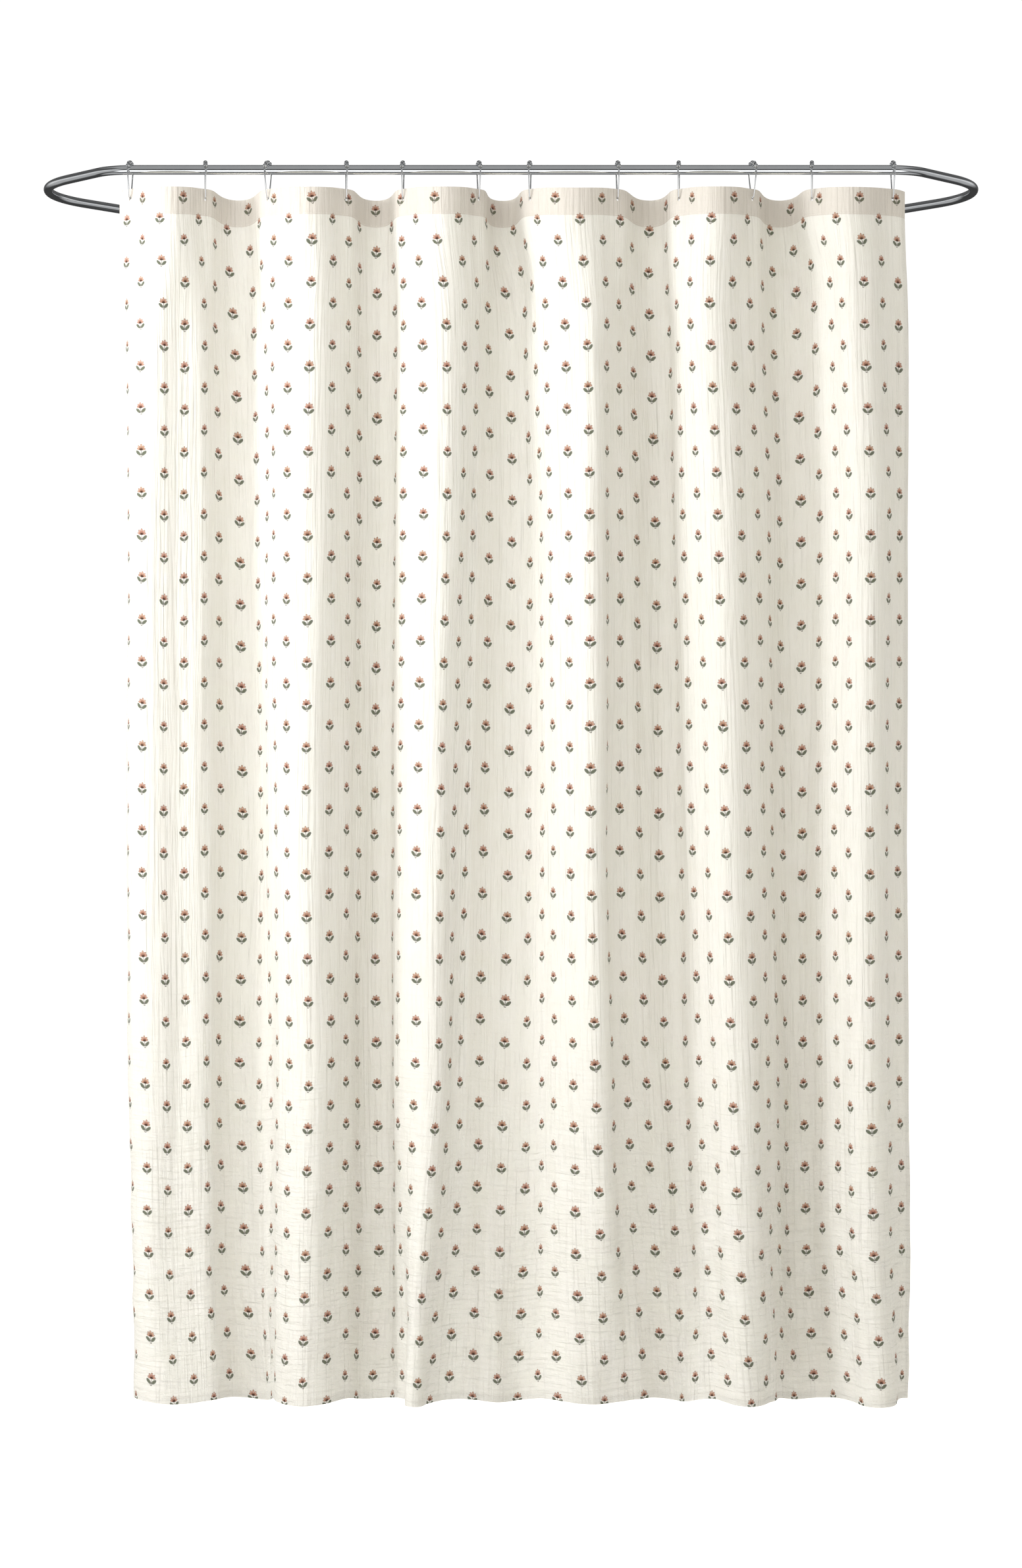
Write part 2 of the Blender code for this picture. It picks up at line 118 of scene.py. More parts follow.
def maths(tree: bpy.types.NodeTree, operation: str, *values: Any) -> bpy.types.NodeSocket:
    """The result of one sum on numbers or sockets."""
    return add_node(tree, "ShaderNodeMath", {"operation": operation}, dict(enumerate(values))).outputs[0]


def mixed_colour(tree: bpy.types.NodeTree, factor: Any, first: Any, second: Any,
                 blend: str = "MIX") -> bpy.types.NodeSocket:
    """Two colours, mixed or multiplied by a factor."""
    return add_node(tree, "ShaderNodeMix", {"data_type": "RGBA", "blend_type": blend},
                    {"Factor": factor, "A": first, "B": second}).outputs["Result"]


def remapped(tree: bpy.types.NodeTree, value: Any, span: tuple[float, float] = (0.0, 1.0),
             to: tuple[float, float] = (0.0, 1.0), smooth: bool = False) -> bpy.types.NodeSocket:
    """A value carried from one span to another, and held at its ends."""
    return add_node(tree, "ShaderNodeMapRange",
                    {"interpolation_type": "SMOOTHSTEP" if smooth else "LINEAR"},
                    {"Value": value, "From Min": span[0], "From Max": span[1],
                     "To Min": to[0], "To Max": to[1]}).outputs["Result"]


def noise_at(tree: bpy.types.NodeTree, place: Any, scale: float, detail: float = 2.0,
             roughness: float = 0.5, distortion: float = 0.0) -> bpy.types.Node:
    """Cloudy noise at a place."""
    return add_node(tree, "ShaderNodeTexNoise", None,
                    {"Vector": place, "Scale": scale, "Detail": detail, "Roughness": roughness,
                     "Distortion": distortion})


def bumped(tree: bpy.types.NodeTree, strength: float, distance: float, height: Any,
           normal: Any = None) -> bpy.types.NodeSocket:
    """The surface direction after a bump, over another bump where normal is given."""
    inputs = {"Strength": strength, "Distance": distance, "Height": height}
    return add_node(tree, "ShaderNodeBump", None,
                    inputs if normal is None else inputs | {"Normal": normal}).outputs["Normal"]


def finish_with(tree: bpy.types.NodeTree, surface: bpy.types.NodeSocket) -> None:
    """Ends a material's tree at its surface."""
    add_node(tree, "ShaderNodeOutputMaterial", None, {"Surface": surface})


def empty_material(name: str) -> tuple[bpy.types.Material, bpy.types.NodeTree]:
    """A material with no nodes yet, and its tree."""
    made = bpy.data.materials.new(name)
    made.use_nodes = True
    made.node_tree.nodes.clear()
    return made, made.node_tree


@dataclass(frozen=True)
class PlatedMetal:
    """Bright chrome plating over steel: a hard mirror with faint polishing lines and handling haze.

    grain_mm is the spacing of the polishing lines and haze_mm the size of the duller patches.
    """

    name: str
    colour: str = "#E4E6E8"
    roughness: float = 0.05
    haze: float = 0.07
    grain_mm: float = 0.6
    haze_mm: float = 18.0
    stretch: tuple[float, float, float] = (0.06, 1.0, 1.0)
    depth: float = 0.000012

    def build(self) -> bpy.types.Material:
        """Builds the material."""
        made, tree = empty_material(self.name)
        place = add_node(tree, "ShaderNodeTexCoord")
        lines_at = add_node(tree, "ShaderNodeMapping", None,
                            {"Vector": place.outputs["Object"], "Scale": self.stretch})
        lines = noise_at(tree, lines_at.outputs["Vector"], 1000 / self.grain_mm, detail=3.0,
                         roughness=0.6)
        patches = noise_at(tree, place.outputs["Object"], 1000 / self.haze_mm, detail=4.0, roughness=0.55)
        dulled = remapped(tree, patches.outputs["Fac"], span=(0.45, 0.75),
                          to=(self.roughness, self.roughness + self.haze), smooth=True)
        streaked = maths(tree, "MULTIPLY_ADD", lines.outputs["Fac"], 0.03, dulled)
        tint = mixed_colour(tree, patches.outputs["Fac"], linear(self.colour), linear("#D3D6D9"))
        bump = bumped(tree, 0.6, self.depth, lines.outputs["Fac"])
        shader = add_node(tree, "ShaderNodeBsdfPrincipled", None,
                          {"Base Color": tint, "Metallic": 1.0,
                           "Roughness": streaked, "Normal": bump})
        finish_with(tree, shader.outputs["BSDF"])
        return made


@dataclass(frozen=True)
class Blade:
    """One painted blade of the sprig, a petal or a leaf, in millimetres about the sprig's middle."""

    x: float
    y: float
    lean_deg: float
    half_width: float
    half_length: float
    fill: str
    outline: str


def sprig_blades() -> tuple[Blade, ...]:
    """The sprig: a fan of five veined petals over two broad leaves, a stem and a forked foot."""
    petal, edge, vein = "#E6BAA3", "#946C5C", "#9A6A58"
    leaf, rib, stem = "#868C77", "#4E5346", "#5A5249"
    fan, veins = [], []
    for lean, length in ((-76, 3.1), (76, 3.1), (-40, 3.5), (40, 3.5), (0, 3.8)):
        side, up = math.sin(math.radians(lean)), math.cos(math.radians(lean))
        reach = length + 0.5
        fan.append(Blade(reach * side, 1.2 + reach * up, -lean, 1.75, length, petal, edge))
        veins.append(Blade(0.62 * reach * side, 1.2 + 0.62 * reach * up, -lean, 0.6, 1.9, vein, vein))
    low = [Blade(-4.3, -3.8, 46, 2.3, 4.7, leaf, rib), Blade(4.3, -3.8, -46, 2.3, 4.7, leaf, rib),
           Blade(-4.3, -3.8, 46, 0.3, 3.2, rib, rib), Blade(4.3, -3.8, -46, 0.3, 3.2, rib, rib),
           Blade(0.0, -4.4, 0, 0.42, 4.6, stem, stem), Blade(-0.9, -9.1, 42, 0.42, 1.3, stem, stem),
           Blade(0.9, -9.1, -42, 0.42, 1.3, stem, stem), Blade(0.0, 1.3, 0, 2.5, 1.6, "#553A30", "#553A30")]
    return tuple(fan + veins + low)


@dataclass(frozen=True)
class PrintedMuslin:
    """Double-gauze cotton muslin: soft, matt and slightly see-through, with washed-in creases and a
    water-colour print of small sprigs in a half-drop repeat.

    The pattern follows the attribute "flat_mm", the millimetres across and down the flat cloth.
    """

    name: str = "printed_double_gauze_muslin"
    cloth: str = "#FAF9F6"
    shaded: str = "#F5F3EC"
    # The header colour tints the band where the cloth is really folded double. The slight pinkish darkening
    # is painted shade, standing in for the warmer look the header has where less light comes through it.
    header: str = "#FCF7F3"
    header_through: str = "#5A4C46"
    header_mm: float = 41.0
    column_mm: float = 38.1
    row_mm: float = 63.5
    first_row_mm: float = 47.0
    # The real threads lie 0.5 mm apart; they are drawn 1.1 mm apart so that they show.
    thread_mm: float = 1.1
    streak_mm: float = 6.5
    streak_length_mm: float = 150.0
    crinkle_mm: float = 6.0
    see_through: float = 0.24
    printed: bool = True

    def motif_place(self, tree: bpy.types.NodeTree, flat: bpy.types.NodeSocket
                    ) -> tuple[bpy.types.NodeSocket, bpy.types.NodeSocket]:
        """Finds each point's place in its own sprig's cell.

        Args:
            tree: The node tree.
            flat: Millimetres across and down the cloth.

        Returns:
            Millimetres from the sprig's middle, with up positive, and the cell's random colour.
        """
        apart = add_node(tree, "ShaderNodeSeparateXYZ", None, {0: flat})
        count = maths(tree, "DIVIDE", apart.outputs["X"], self.column_mm)
        column = maths(tree, "FLOOR", count)
        across = maths(tree, "MULTIPLY_ADD", column, -self.column_mm, apart.outputs["X"])
        centred = maths(tree, "SUBTRACT", across, self.column_mm / 2)
        odd = maths(tree, "FLOORED_MODULO", column, 2.0)
        dropped = maths(tree, "MULTIPLY_ADD", odd, self.row_mm / 2, apart.outputs["Y"])
        lowered = maths(tree, "SUBTRACT", dropped, self.first_row_mm)
        rows = maths(tree, "DIVIDE", lowered, self.row_mm)
        row = maths(tree, "ROUND", rows)
        up = maths(tree, "MULTIPLY_ADD", row, self.row_mm, 0.0)
        local = maths(tree, "SUBTRACT", up, lowered)
        joined = add_node(tree, "ShaderNodeCombineXYZ", None,
                          {"X": centred, "Y": local})
        cell = add_node(tree, "ShaderNodeCombineXYZ", None,
                        {"X": column, "Y": row, "Z": 4.7})
        chance = add_node(tree, "ShaderNodeTexWhiteNoise", {"noise_dimensions": "3D"},
                          {"Vector": cell.outputs[0]})
        parts = add_node(tree, "ShaderNodeSeparateColor", None, {0: chance.outputs["Color"]})
        turn = remapped(tree, parts.outputs[0], to=(-0.16, 0.16))
        turned = add_node(tree, "ShaderNodeVectorRotate", {"rotation_type": "Z_AXIS"},
                          {"Vector": joined.outputs[0], "Angle": turn})
        grow = remapped(tree, parts.outputs[1], to=(0.94, 1.08))
        sized = add_node(tree, "ShaderNodeVectorMath", {"operation": "SCALE"},
                         {0: turned.outputs[0], "Scale": grow})
        return sized.outputs[0], chance.outputs["Color"]

    def paint(self, tree: bpy.types.NodeTree, flat: bpy.types.NodeSocket,
              ground: bpy.types.NodeSocket) -> bpy.types.NodeSocket:
        """Paints the sprigs over the cloth's own colour.

        Args:
            tree: The node tree.
            flat: Millimetres across and down the cloth.
            ground: The unprinted colour.

        Returns:
            The printed colour.
        """
        local, chance = self.motif_place(tree, flat)
        ragged = noise_at(tree, flat, 0.38, detail=2.0, roughness=0.6)
        shift = add_node(tree, "ShaderNodeVectorMath", {"operation": "MULTIPLY_ADD"},
                         {0: ragged.outputs["Color"], 1: (1.2, 1.2, 0.0), 2: local})
        place = add_node(tree, "ShaderNodeVectorMath", {"operation": "SUBTRACT"},
                         {0: shift.outputs[0], 1: (0.6, 0.6, 0.0)})
        wash = noise_at(tree, flat, 0.22, detail=3.0, roughness=0.5)
        weight = remapped(tree, wash.outputs["Fac"], span=(0.3, 0.7), to=(0.62, 0.96))
        colour = ground
        for blade in sprig_blades():
            at = add_node(tree, "ShaderNodeMapping", {"vector_type": "TEXTURE"},
                          {"Vector": place.outputs[0], "Location": (blade.x, blade.y, 0.0),
                           "Rotation": (0.0, 0.0, math.radians(blade.lean_deg)),
                           "Scale": (blade.half_width, blade.half_length, 1.0)})
            reach = add_node(tree, "ShaderNodeVectorMath", {"operation": "LENGTH"},
                             {0: at.outputs[0]})
            rim = remapped(tree, reach.outputs["Value"], span=(0.94, 1.1), to=(0.86, 0.0), smooth=True)
            inked = mixed_colour(tree, rim, colour, linear(blade.outline))
            core = remapped(tree, reach.outputs["Value"], span=(0.66, 0.84), to=(weight, 0.0),
                            smooth=True)
            colour = mixed_colour(tree, core, inked, linear(blade.fill))
        warm = add_node(tree, "ShaderNodeSeparateColor", None, {0: chance})
        drift = remapped(tree, warm.outputs[2], to=(0.492, 0.508))
        tinted = add_node(tree, "ShaderNodeHueSaturation", None,
                          {"Color": colour, "Hue": drift, "Saturation": 1.0, "Value": 1.0})
        return tinted.outputs["Color"]

    def build(self) -> bpy.types.Material:
        """Builds the material."""
        made, tree = empty_material(self.name)
        flat = add_node(tree, "ShaderNodeAttribute", {"attribute_name": "flat_mm"}).outputs["Vector"]
        apart = add_node(tree, "ShaderNodeSeparateXYZ", None, {0: flat})
        # Slubs: soft cloudy thickness changes a few centimetres across.
        slub = noise_at(tree, flat, 1 / 35, detail=5.0, roughness=0.6)
        colour = mixed_colour(tree, slub.outputs["Fac"], linear(self.cloth), linear(self.shaded))
        if self.printed:
            colour = self.paint(tree, flat, colour)
        # Painted shade on the header band: its colour is multiplied by a slight pinkish tint for the warmer
        # look it has where less light comes through the doubled cloth.
        folded = remapped(tree, apart.outputs["Y"], span=(self.header_mm - 0.5, self.header_mm + 0.5),
                          to=(1.0, 0.0), smooth=True)
        double = mixed_colour(tree, folded, colour, linear(self.header), blend="MULTIPLY")
        # Washed-in streaks running down the cloth.
        streak_at = add_node(tree, "ShaderNodeMapping", None,
                             {"Vector": flat, "Scale": (1 / self.streak_mm,
                                                        1 / self.streak_length_mm, 1.0)})
        streak = noise_at(tree, streak_at.outputs[0], 1.0, detail=3.0, roughness=0.55, distortion=0.35)
        # Crosswise crinkles, which gather towards the hem.
        crinkle_at = add_node(tree, "ShaderNodeMapping", None,
                              {"Vector": flat, "Rotation": (0.0, 0.0, 0.12),
                               "Scale": (1 / 55, 1 / self.crinkle_mm, 1.0)})
        crinkle = noise_at(tree, crinkle_at.outputs[0], 1.0, detail=3.0, roughness=0.6, distortion=0.5)
        low = remapped(tree, apart.outputs["Y"], span=(1050.0, 1700.0), to=(0.15, 1.0), smooth=True)
        pucker = maths(tree, "MULTIPLY_ADD", crinkle.outputs["Fac"], low, streak.outputs["Fac"])
        warp = maths(tree, "MULTIPLY", apart.outputs["X"], 2 * math.pi / self.thread_mm)
        weft = maths(tree, "MULTIPLY", apart.outputs["Y"], 2 * math.pi / self.thread_mm)
        warp_wave = maths(tree, "SINE", warp)
        weft_wave = maths(tree, "SINE", weft)
        weave = maths(tree, "MULTIPLY", warp_wave, weft_wave)
        creased = bumped(tree, 1.0, 0.0038, pucker)
        woven = bumped(tree, 0.5, 6e-05, weave, normal=creased)
        shader = add_node(tree, "ShaderNodeBsdfPrincipled", None,
                          {"Base Color": double, "Roughness": 0.88,
                           "Specular IOR Level": 0.25, "Sheen Weight": 0.12,
                           "Sheen Roughness": 0.5, "Normal": woven})
        # Little light comes through the header, where the cloth is folded double.
        dimmed = mixed_colour(tree, folded, double, linear(self.header_through), blend="MULTIPLY")
        glow = add_node(tree, "ShaderNodeBsdfTranslucent", None,
                        {"Color": dimmed, "Normal": woven})
        mixed = add_node(tree, "ShaderNodeMixShader", None,
                         {0: self.see_through, 1: shader.outputs["BSDF"], 2: glow.outputs["BSDF"]})
        finish_with(tree, mixed.outputs[0])
        return made


@dataclass(frozen=True)
class CottonThread:
    """Mercerised cotton sewing thread: white, faintly glossy, with the ply twisting round it."""

    name: str = "cotton_sewing_thread"
    colour: str = "#F1ECE6"
    ply_mm: float = 0.7

    def build(self) -> bpy.types.Material:
        """Builds the material."""
        made, tree = empty_material(self.name)
        place = add_node(tree, "ShaderNodeTexCoord")
        ply = add_node(tree, "ShaderNodeTexWave", {"bands_direction": "DIAGONAL"},
                       {"Vector": place.outputs["Object"], "Scale": 50 / self.ply_mm,
                        "Distortion": 1.2, "Detail": 2.0})
        # Painted shade: the thread is darker in the grooves between its plies, where the bump is lowest.
        groove_shaded_colour = mixed_colour(tree, ply.outputs["Fac"], linear("#E0DAD2"), linear(self.colour))
        bump = bumped(tree, 0.5, 0.00015, ply.outputs["Fac"])
        shader = add_node(tree, "ShaderNodeBsdfPrincipled", None,
                          {"Base Color": groove_shaded_colour, "Roughness": 0.6,
                           "Sheen Weight": 0.2, "Normal": bump})
        finish_with(tree, shader.outputs["BSDF"])
        return made


@dataclass(frozen=True)
class StudioFloor:
    """Matt white studio card, lit so evenly that shadows hardly show on it."""

    name: str = "white_studio_card"
    colour: str = "#F7F7F6"
    glow: float = 0.62

    def build(self) -> bpy.types.Material:
        """Builds the material."""
        made, tree = empty_material(self.name)
        place = add_node(tree, "ShaderNodeTexCoord")
        tooth = noise_at(tree, place.outputs["Object"], 400.0, detail=2.0)
        bump = bumped(tree, 0.05, 0.0005, tooth.outputs["Fac"])
        shader = add_node(tree, "ShaderNodeBsdfPrincipled", None,
                          {"Base Color": linear(self.colour), "Roughness": 0.95,
                           "Specular IOR Level": 0.0, "Emission Color": (1.0, 1.0, 1.0, 1.0),
                           "Emission Strength": self.glow, "Normal": bump})
        finish_with(tree, shader.outputs["BSDF"])
        return made


@dataclass
class Wardrobe:
    """The finishes, each built once."""

    tube: bpy.types.Material
    bracket: bpy.types.Material
    wire: bpy.types.Material
    bead: bpy.types.Material
    steel: bpy.types.Material
    muslin: bpy.types.Material
    hem: bpy.types.Material
    thread: bpy.types.Material


def sew_wardrobe() -> Wardrobe:
    """Builds every finish of the object."""
    return Wardrobe(
        tube=PlatedMetal("chrome_plated_steel_tube").build(),
        bracket=PlatedMetal("chrome_plated_zinc_casting", roughness=0.07, haze=0.1,
                            stretch=(1.0, 1.0, 1.0)).build(),
        wire=PlatedMetal("nickel_plated_spring_wire", colour="#DADBDC", roughness=0.09,
                         stretch=(1.0, 1.0, 0.2), depth=0.000008).build(),
        bead=PlatedMetal("polished_steel_beads", colour="#E8E9EA", roughness=0.04, haze=0.05,
                         stretch=(1.0, 1.0, 1.0), depth=0.000006).build(),
        steel=PlatedMetal("zinc_plated_screw_steel", colour="#B9BDC2", roughness=0.28, haze=0.15,
                          grain_mm=0.4, stretch=(1.0, 1.0, 1.0), depth=0.00003).build(),
        muslin=PrintedMuslin().build(),
        hem=PrintedMuslin(name="plain_double_gauze_muslin", printed=False, header="#FFFFFF").build(),
        thread=CottonThread().build(),
    )


# ------------------------------------------------------------ modelling aids


def deselect() -> None:
    """Leaves edit mode and selects nothing."""
    if bpy.context.mode != "OBJECT":
        bpy.ops.object.mode_set(mode="OBJECT")
    bpy.ops.object.select_all(action="DESELECT")


def make_active(obj: bpy.types.Object) -> None:
    """Selects one object alone and makes it active."""
    deselect()
    obj.select_set(True)
    bpy.context.view_layer.objects.active = obj


def settle(obj: bpy.types.Object) -> None:
    """Puts an object's place into its mesh, so the object is at the origin."""
    make_active(obj)
    bpy.ops.object.transform_apply(location=True, rotation=True, scale=True)


def apply_modifiers(obj: bpy.types.Object) -> None:
    """Applies every modifier in order."""
    make_active(obj)
    for modifier in list(obj.modifiers):
        bpy.ops.object.modifier_apply(modifier=modifier.name)


def outward(obj: bpy.types.Object, merge: float = 0.000005) -> None:
    """Merges doubles and turns the faces outwards."""
    make_active(obj)
    bpy.ops.object.mode_set(mode="EDIT")
    bpy.ops.mesh.select_all(action="SELECT")
    bpy.ops.mesh.remove_doubles(threshold=merge)
    bpy.ops.mesh.normals_make_consistent(inside=False)
    bpy.ops.object.mode_set(mode="OBJECT")


def rounded(obj: bpy.types.Object, angle_deg: float = 35.0) -> None:
    """Smooths the shading but keeps real edges."""
    make_active(obj)
    bpy.ops.object.shade_smooth_by_angle(angle=math.radians(angle_deg))


def cut(obj: bpy.types.Object, tool: bpy.types.Object, operation: str = "DIFFERENCE") -> None:
    """Applies a Boolean with a tool object, then removes the tool."""
    modifier = obj.modifiers.new("Cut", "BOOLEAN")
    modifier.operation = operation
    modifier.solver = "EXACT"
    modifier.object = tool
    apply_modifiers(obj)
    bpy.data.objects.remove(tool, do_unlink=True)


def copied(source: bpy.types.Object, name: str, place: Matrix) -> bpy.types.Object:
    """A copy with its own mesh, moved by place, whose object stays at the origin."""
    made = bpy.data.objects.new(name, source.data.copy())
    made.data.name = name
    made.data.transform(place)
    bpy.context.scene.collection.objects.link(made)
    return made


def joined(name: str, pieces: list[bpy.types.Object]) -> bpy.types.Object:
    """Joins pieces into one object of this name."""
    deselect()
    for piece in pieces:
        piece.select_set(True)
    bpy.context.view_layer.objects.active = pieces[0]
    bpy.ops.object.join()
    pieces[0].name = name
    pieces[0].data.name = name
    return pieces[0]


def dress(obj: bpy.types.Object, finish: bpy.types.Material) -> None:
    """Gives a piece its finish."""
    obj.data.materials.clear()
    obj.data.materials.append(finish)


def report(obj: bpy.types.Object, body: str) -> None:
    """Logs a piece's size and the body it rides on."""
    obj.data.calc_loop_triangles()
    LOG.info("%s rides on %s: %d triangles", obj.name, body, len(obj.data.loop_triangles))


def fit(piece: bpy.types.Object, finish: bpy.types.Material, node: str, body: str) -> None:
    """Dresses a piece and fixes it to a body in place of its frame node."""
    dress(piece, finish)
    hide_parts(node)
    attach(piece, body)
    report(piece, body)


def pick_faces(obj: bpy.types.Object, wanted: Callable[[bpy.types.MeshPolygon], bool]) -> None:
    """Opens the active object for editing with only the wanted faces selected."""
    bpy.ops.object.mode_set(mode="EDIT")
    bpy.ops.mesh.select_all(action="DESELECT")
    bpy.ops.object.mode_set(mode="OBJECT")
    for face in obj.data.polygons:
        face.select = wanted(face)
    bpy.ops.object.mode_set(mode="EDIT")
    bpy.ops.mesh.select_mode(type="FACE")


def from_points(name: str, points: list, faces: list) -> bpy.types.Object:
    """An object in the scene, made of points and the faces between them."""
    mesh = bpy.data.meshes.new(name)
    mesh.from_pydata(points, [], faces)
    made = bpy.data.objects.new(name, mesh)
    bpy.context.scene.collection.objects.link(made)
    return made


@dataclass
class Bender:
    """Sweeps a round section through straight runs and bends, as a tube bender does."""

    name: str
    radius: float
    sides: int
    start: Vector
    along: Vector
    obj: bpy.types.Object | None = None

    def begin(self) -> None:
        """Adds the section square to the first run and opens it for editing."""
        deselect()
        turn = self.along.to_track_quat("Z", "Y").to_euler()
        bpy.ops.mesh.primitive_circle_add(vertices=self.sides, radius=self.radius,
                                          fill_type="NOTHING", location=self.start, rotation=turn)
        self.obj = bpy.context.object
        self.obj.name = self.name
        settle(self.obj)
        bpy.ops.object.mode_set(mode="EDIT")
        bpy.ops.mesh.select_all(action="SELECT")

    def run(self, move: Vector) -> None:
        """Carries the open end straight on by a move."""
        bpy.ops.mesh.extrude_region_move(TRANSFORM_OT_translate={"value": tuple(move)})

    def bend(self, centre: Vector, axis: Vector, angle: float, steps: int) -> None:
        """Turns the open end round a centre, counter-clockwise as seen against the axis."""
        bpy.ops.mesh.spin(steps=steps, angle=-angle, center=tuple(centre), axis=tuple(axis))

    def finish(self, merge: float = 0.000005) -> bpy.types.Object:
        """Closes the seams and returns the swept piece."""
        bpy.ops.object.mode_set(mode="OBJECT")
        outward(self.obj, merge)
        return self.obj


# ------------------------------------------------------------------ ring rod


@dataclass
class RingRod:
    """The oval ring: two bent tubes that meet at the ring's tips."""

    wardrobe: Wardrobe
    radius: float = 0.00715
    wall: float = 0.001
    half_depth: float = 0.222
    straight_half: float = 0.572
    corner_radius: float = 0.070
    corner_turn: float = math.radians(52)
    tip_radius: float = 0.2057
    seam_gap: float = 0.0003
    sides: int = 48

    def tip_centre_x(self) -> float:
        """X of the tip arc's centre."""
        return self.straight_half + self.corner_radius * math.sin(self.corner_turn) \
            + self.slant() * math.cos(self.corner_turn) - self.tip_radius * math.sin(self.corner_turn)

    def slant(self) -> float:
        """Length of the straight run between a corner and the tip arc."""
        drop = self.half_depth - self.corner_radius * (1 - math.cos(self.corner_turn))
        return (drop - self.tip_radius * math.cos(self.corner_turn)) / math.sin(self.corner_turn)

    def half(self, rear: bool) -> bpy.types.Object:
        """Bends one half of the ring, from its left tip to its right tip.

        Args:
            rear: True for the half along the wall.

        Returns:
            The tube, with its wall.
        """
        turn, gap = self.corner_turn, self.seam_gap / 2 / self.tip_radius
        middle_y = (FRONT_BAR_Y + REAR_BAR_Y) / 2
        way = -1 if rear else 1
        bar_y = REAR_BAR_Y if rear else FRONT_BAR_Y
        left = Vector((-self.tip_centre_x(), middle_y, 0))
        right = Vector((self.tip_centre_x(), middle_y, 0))
        start = left + self.tip_radius * Vector((-math.cos(gap), -way * math.sin(gap), 0))
        bender = Bender("ring_rod_rear_tube" if rear else "ring_rod_front_tube", self.radius,
                        self.sides, start, Vector((math.sin(gap), -way * math.cos(gap), 0)))
        bender.begin()
        up = Vector((0, 0, 1))
        tip_arc = math.pi / 2 - turn - gap
        bender.bend(left, up, way * tip_arc, 14)
        slope = Vector((math.cos(turn), -way * math.sin(turn), 0))
        bender.run(self.slant() * slope)
        corner = Vector((-self.straight_half, bar_y + way * self.corner_radius, 0))
        bender.bend(corner, up, way * turn, 14)
        for _ in range(4):
            bender.run(Vector((self.straight_half / 2, 0, 0)))
        corner.x = self.straight_half
        bender.bend(corner, up, way * turn, 14)
        bender.run(self.slant() * Vector((math.cos(turn), way * math.sin(turn), 0)))
        bender.bend(right, up, way * tip_arc, 14)
        tube = bender.finish()
        wall = tube.modifiers.new("Wall", "SOLIDIFY")
        wall.thickness = self.wall
        wall.offset = -1
        apply_modifiers(tube)
        rounded(tube, 40)
        return tube

    def build(self) -> None:
        """Bends both halves and gives the joiners their steel."""
        for rear in (False, True):
            tube = self.half(rear)
            fit(tube, self.wardrobe.tube,
                "ring_rod_rear_half" if rear else "ring_rod_front_half", Body.ROD.value)
        for name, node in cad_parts.items():
            if name.startswith(("rod_joiner", "joiner_screw")):
                for slot in node.material_slots:
                    slot.material = self.wardrobe.steel
                LOG.info("%s keeps its frame shape", name)


# ------------------------------------------------------------- wall brackets


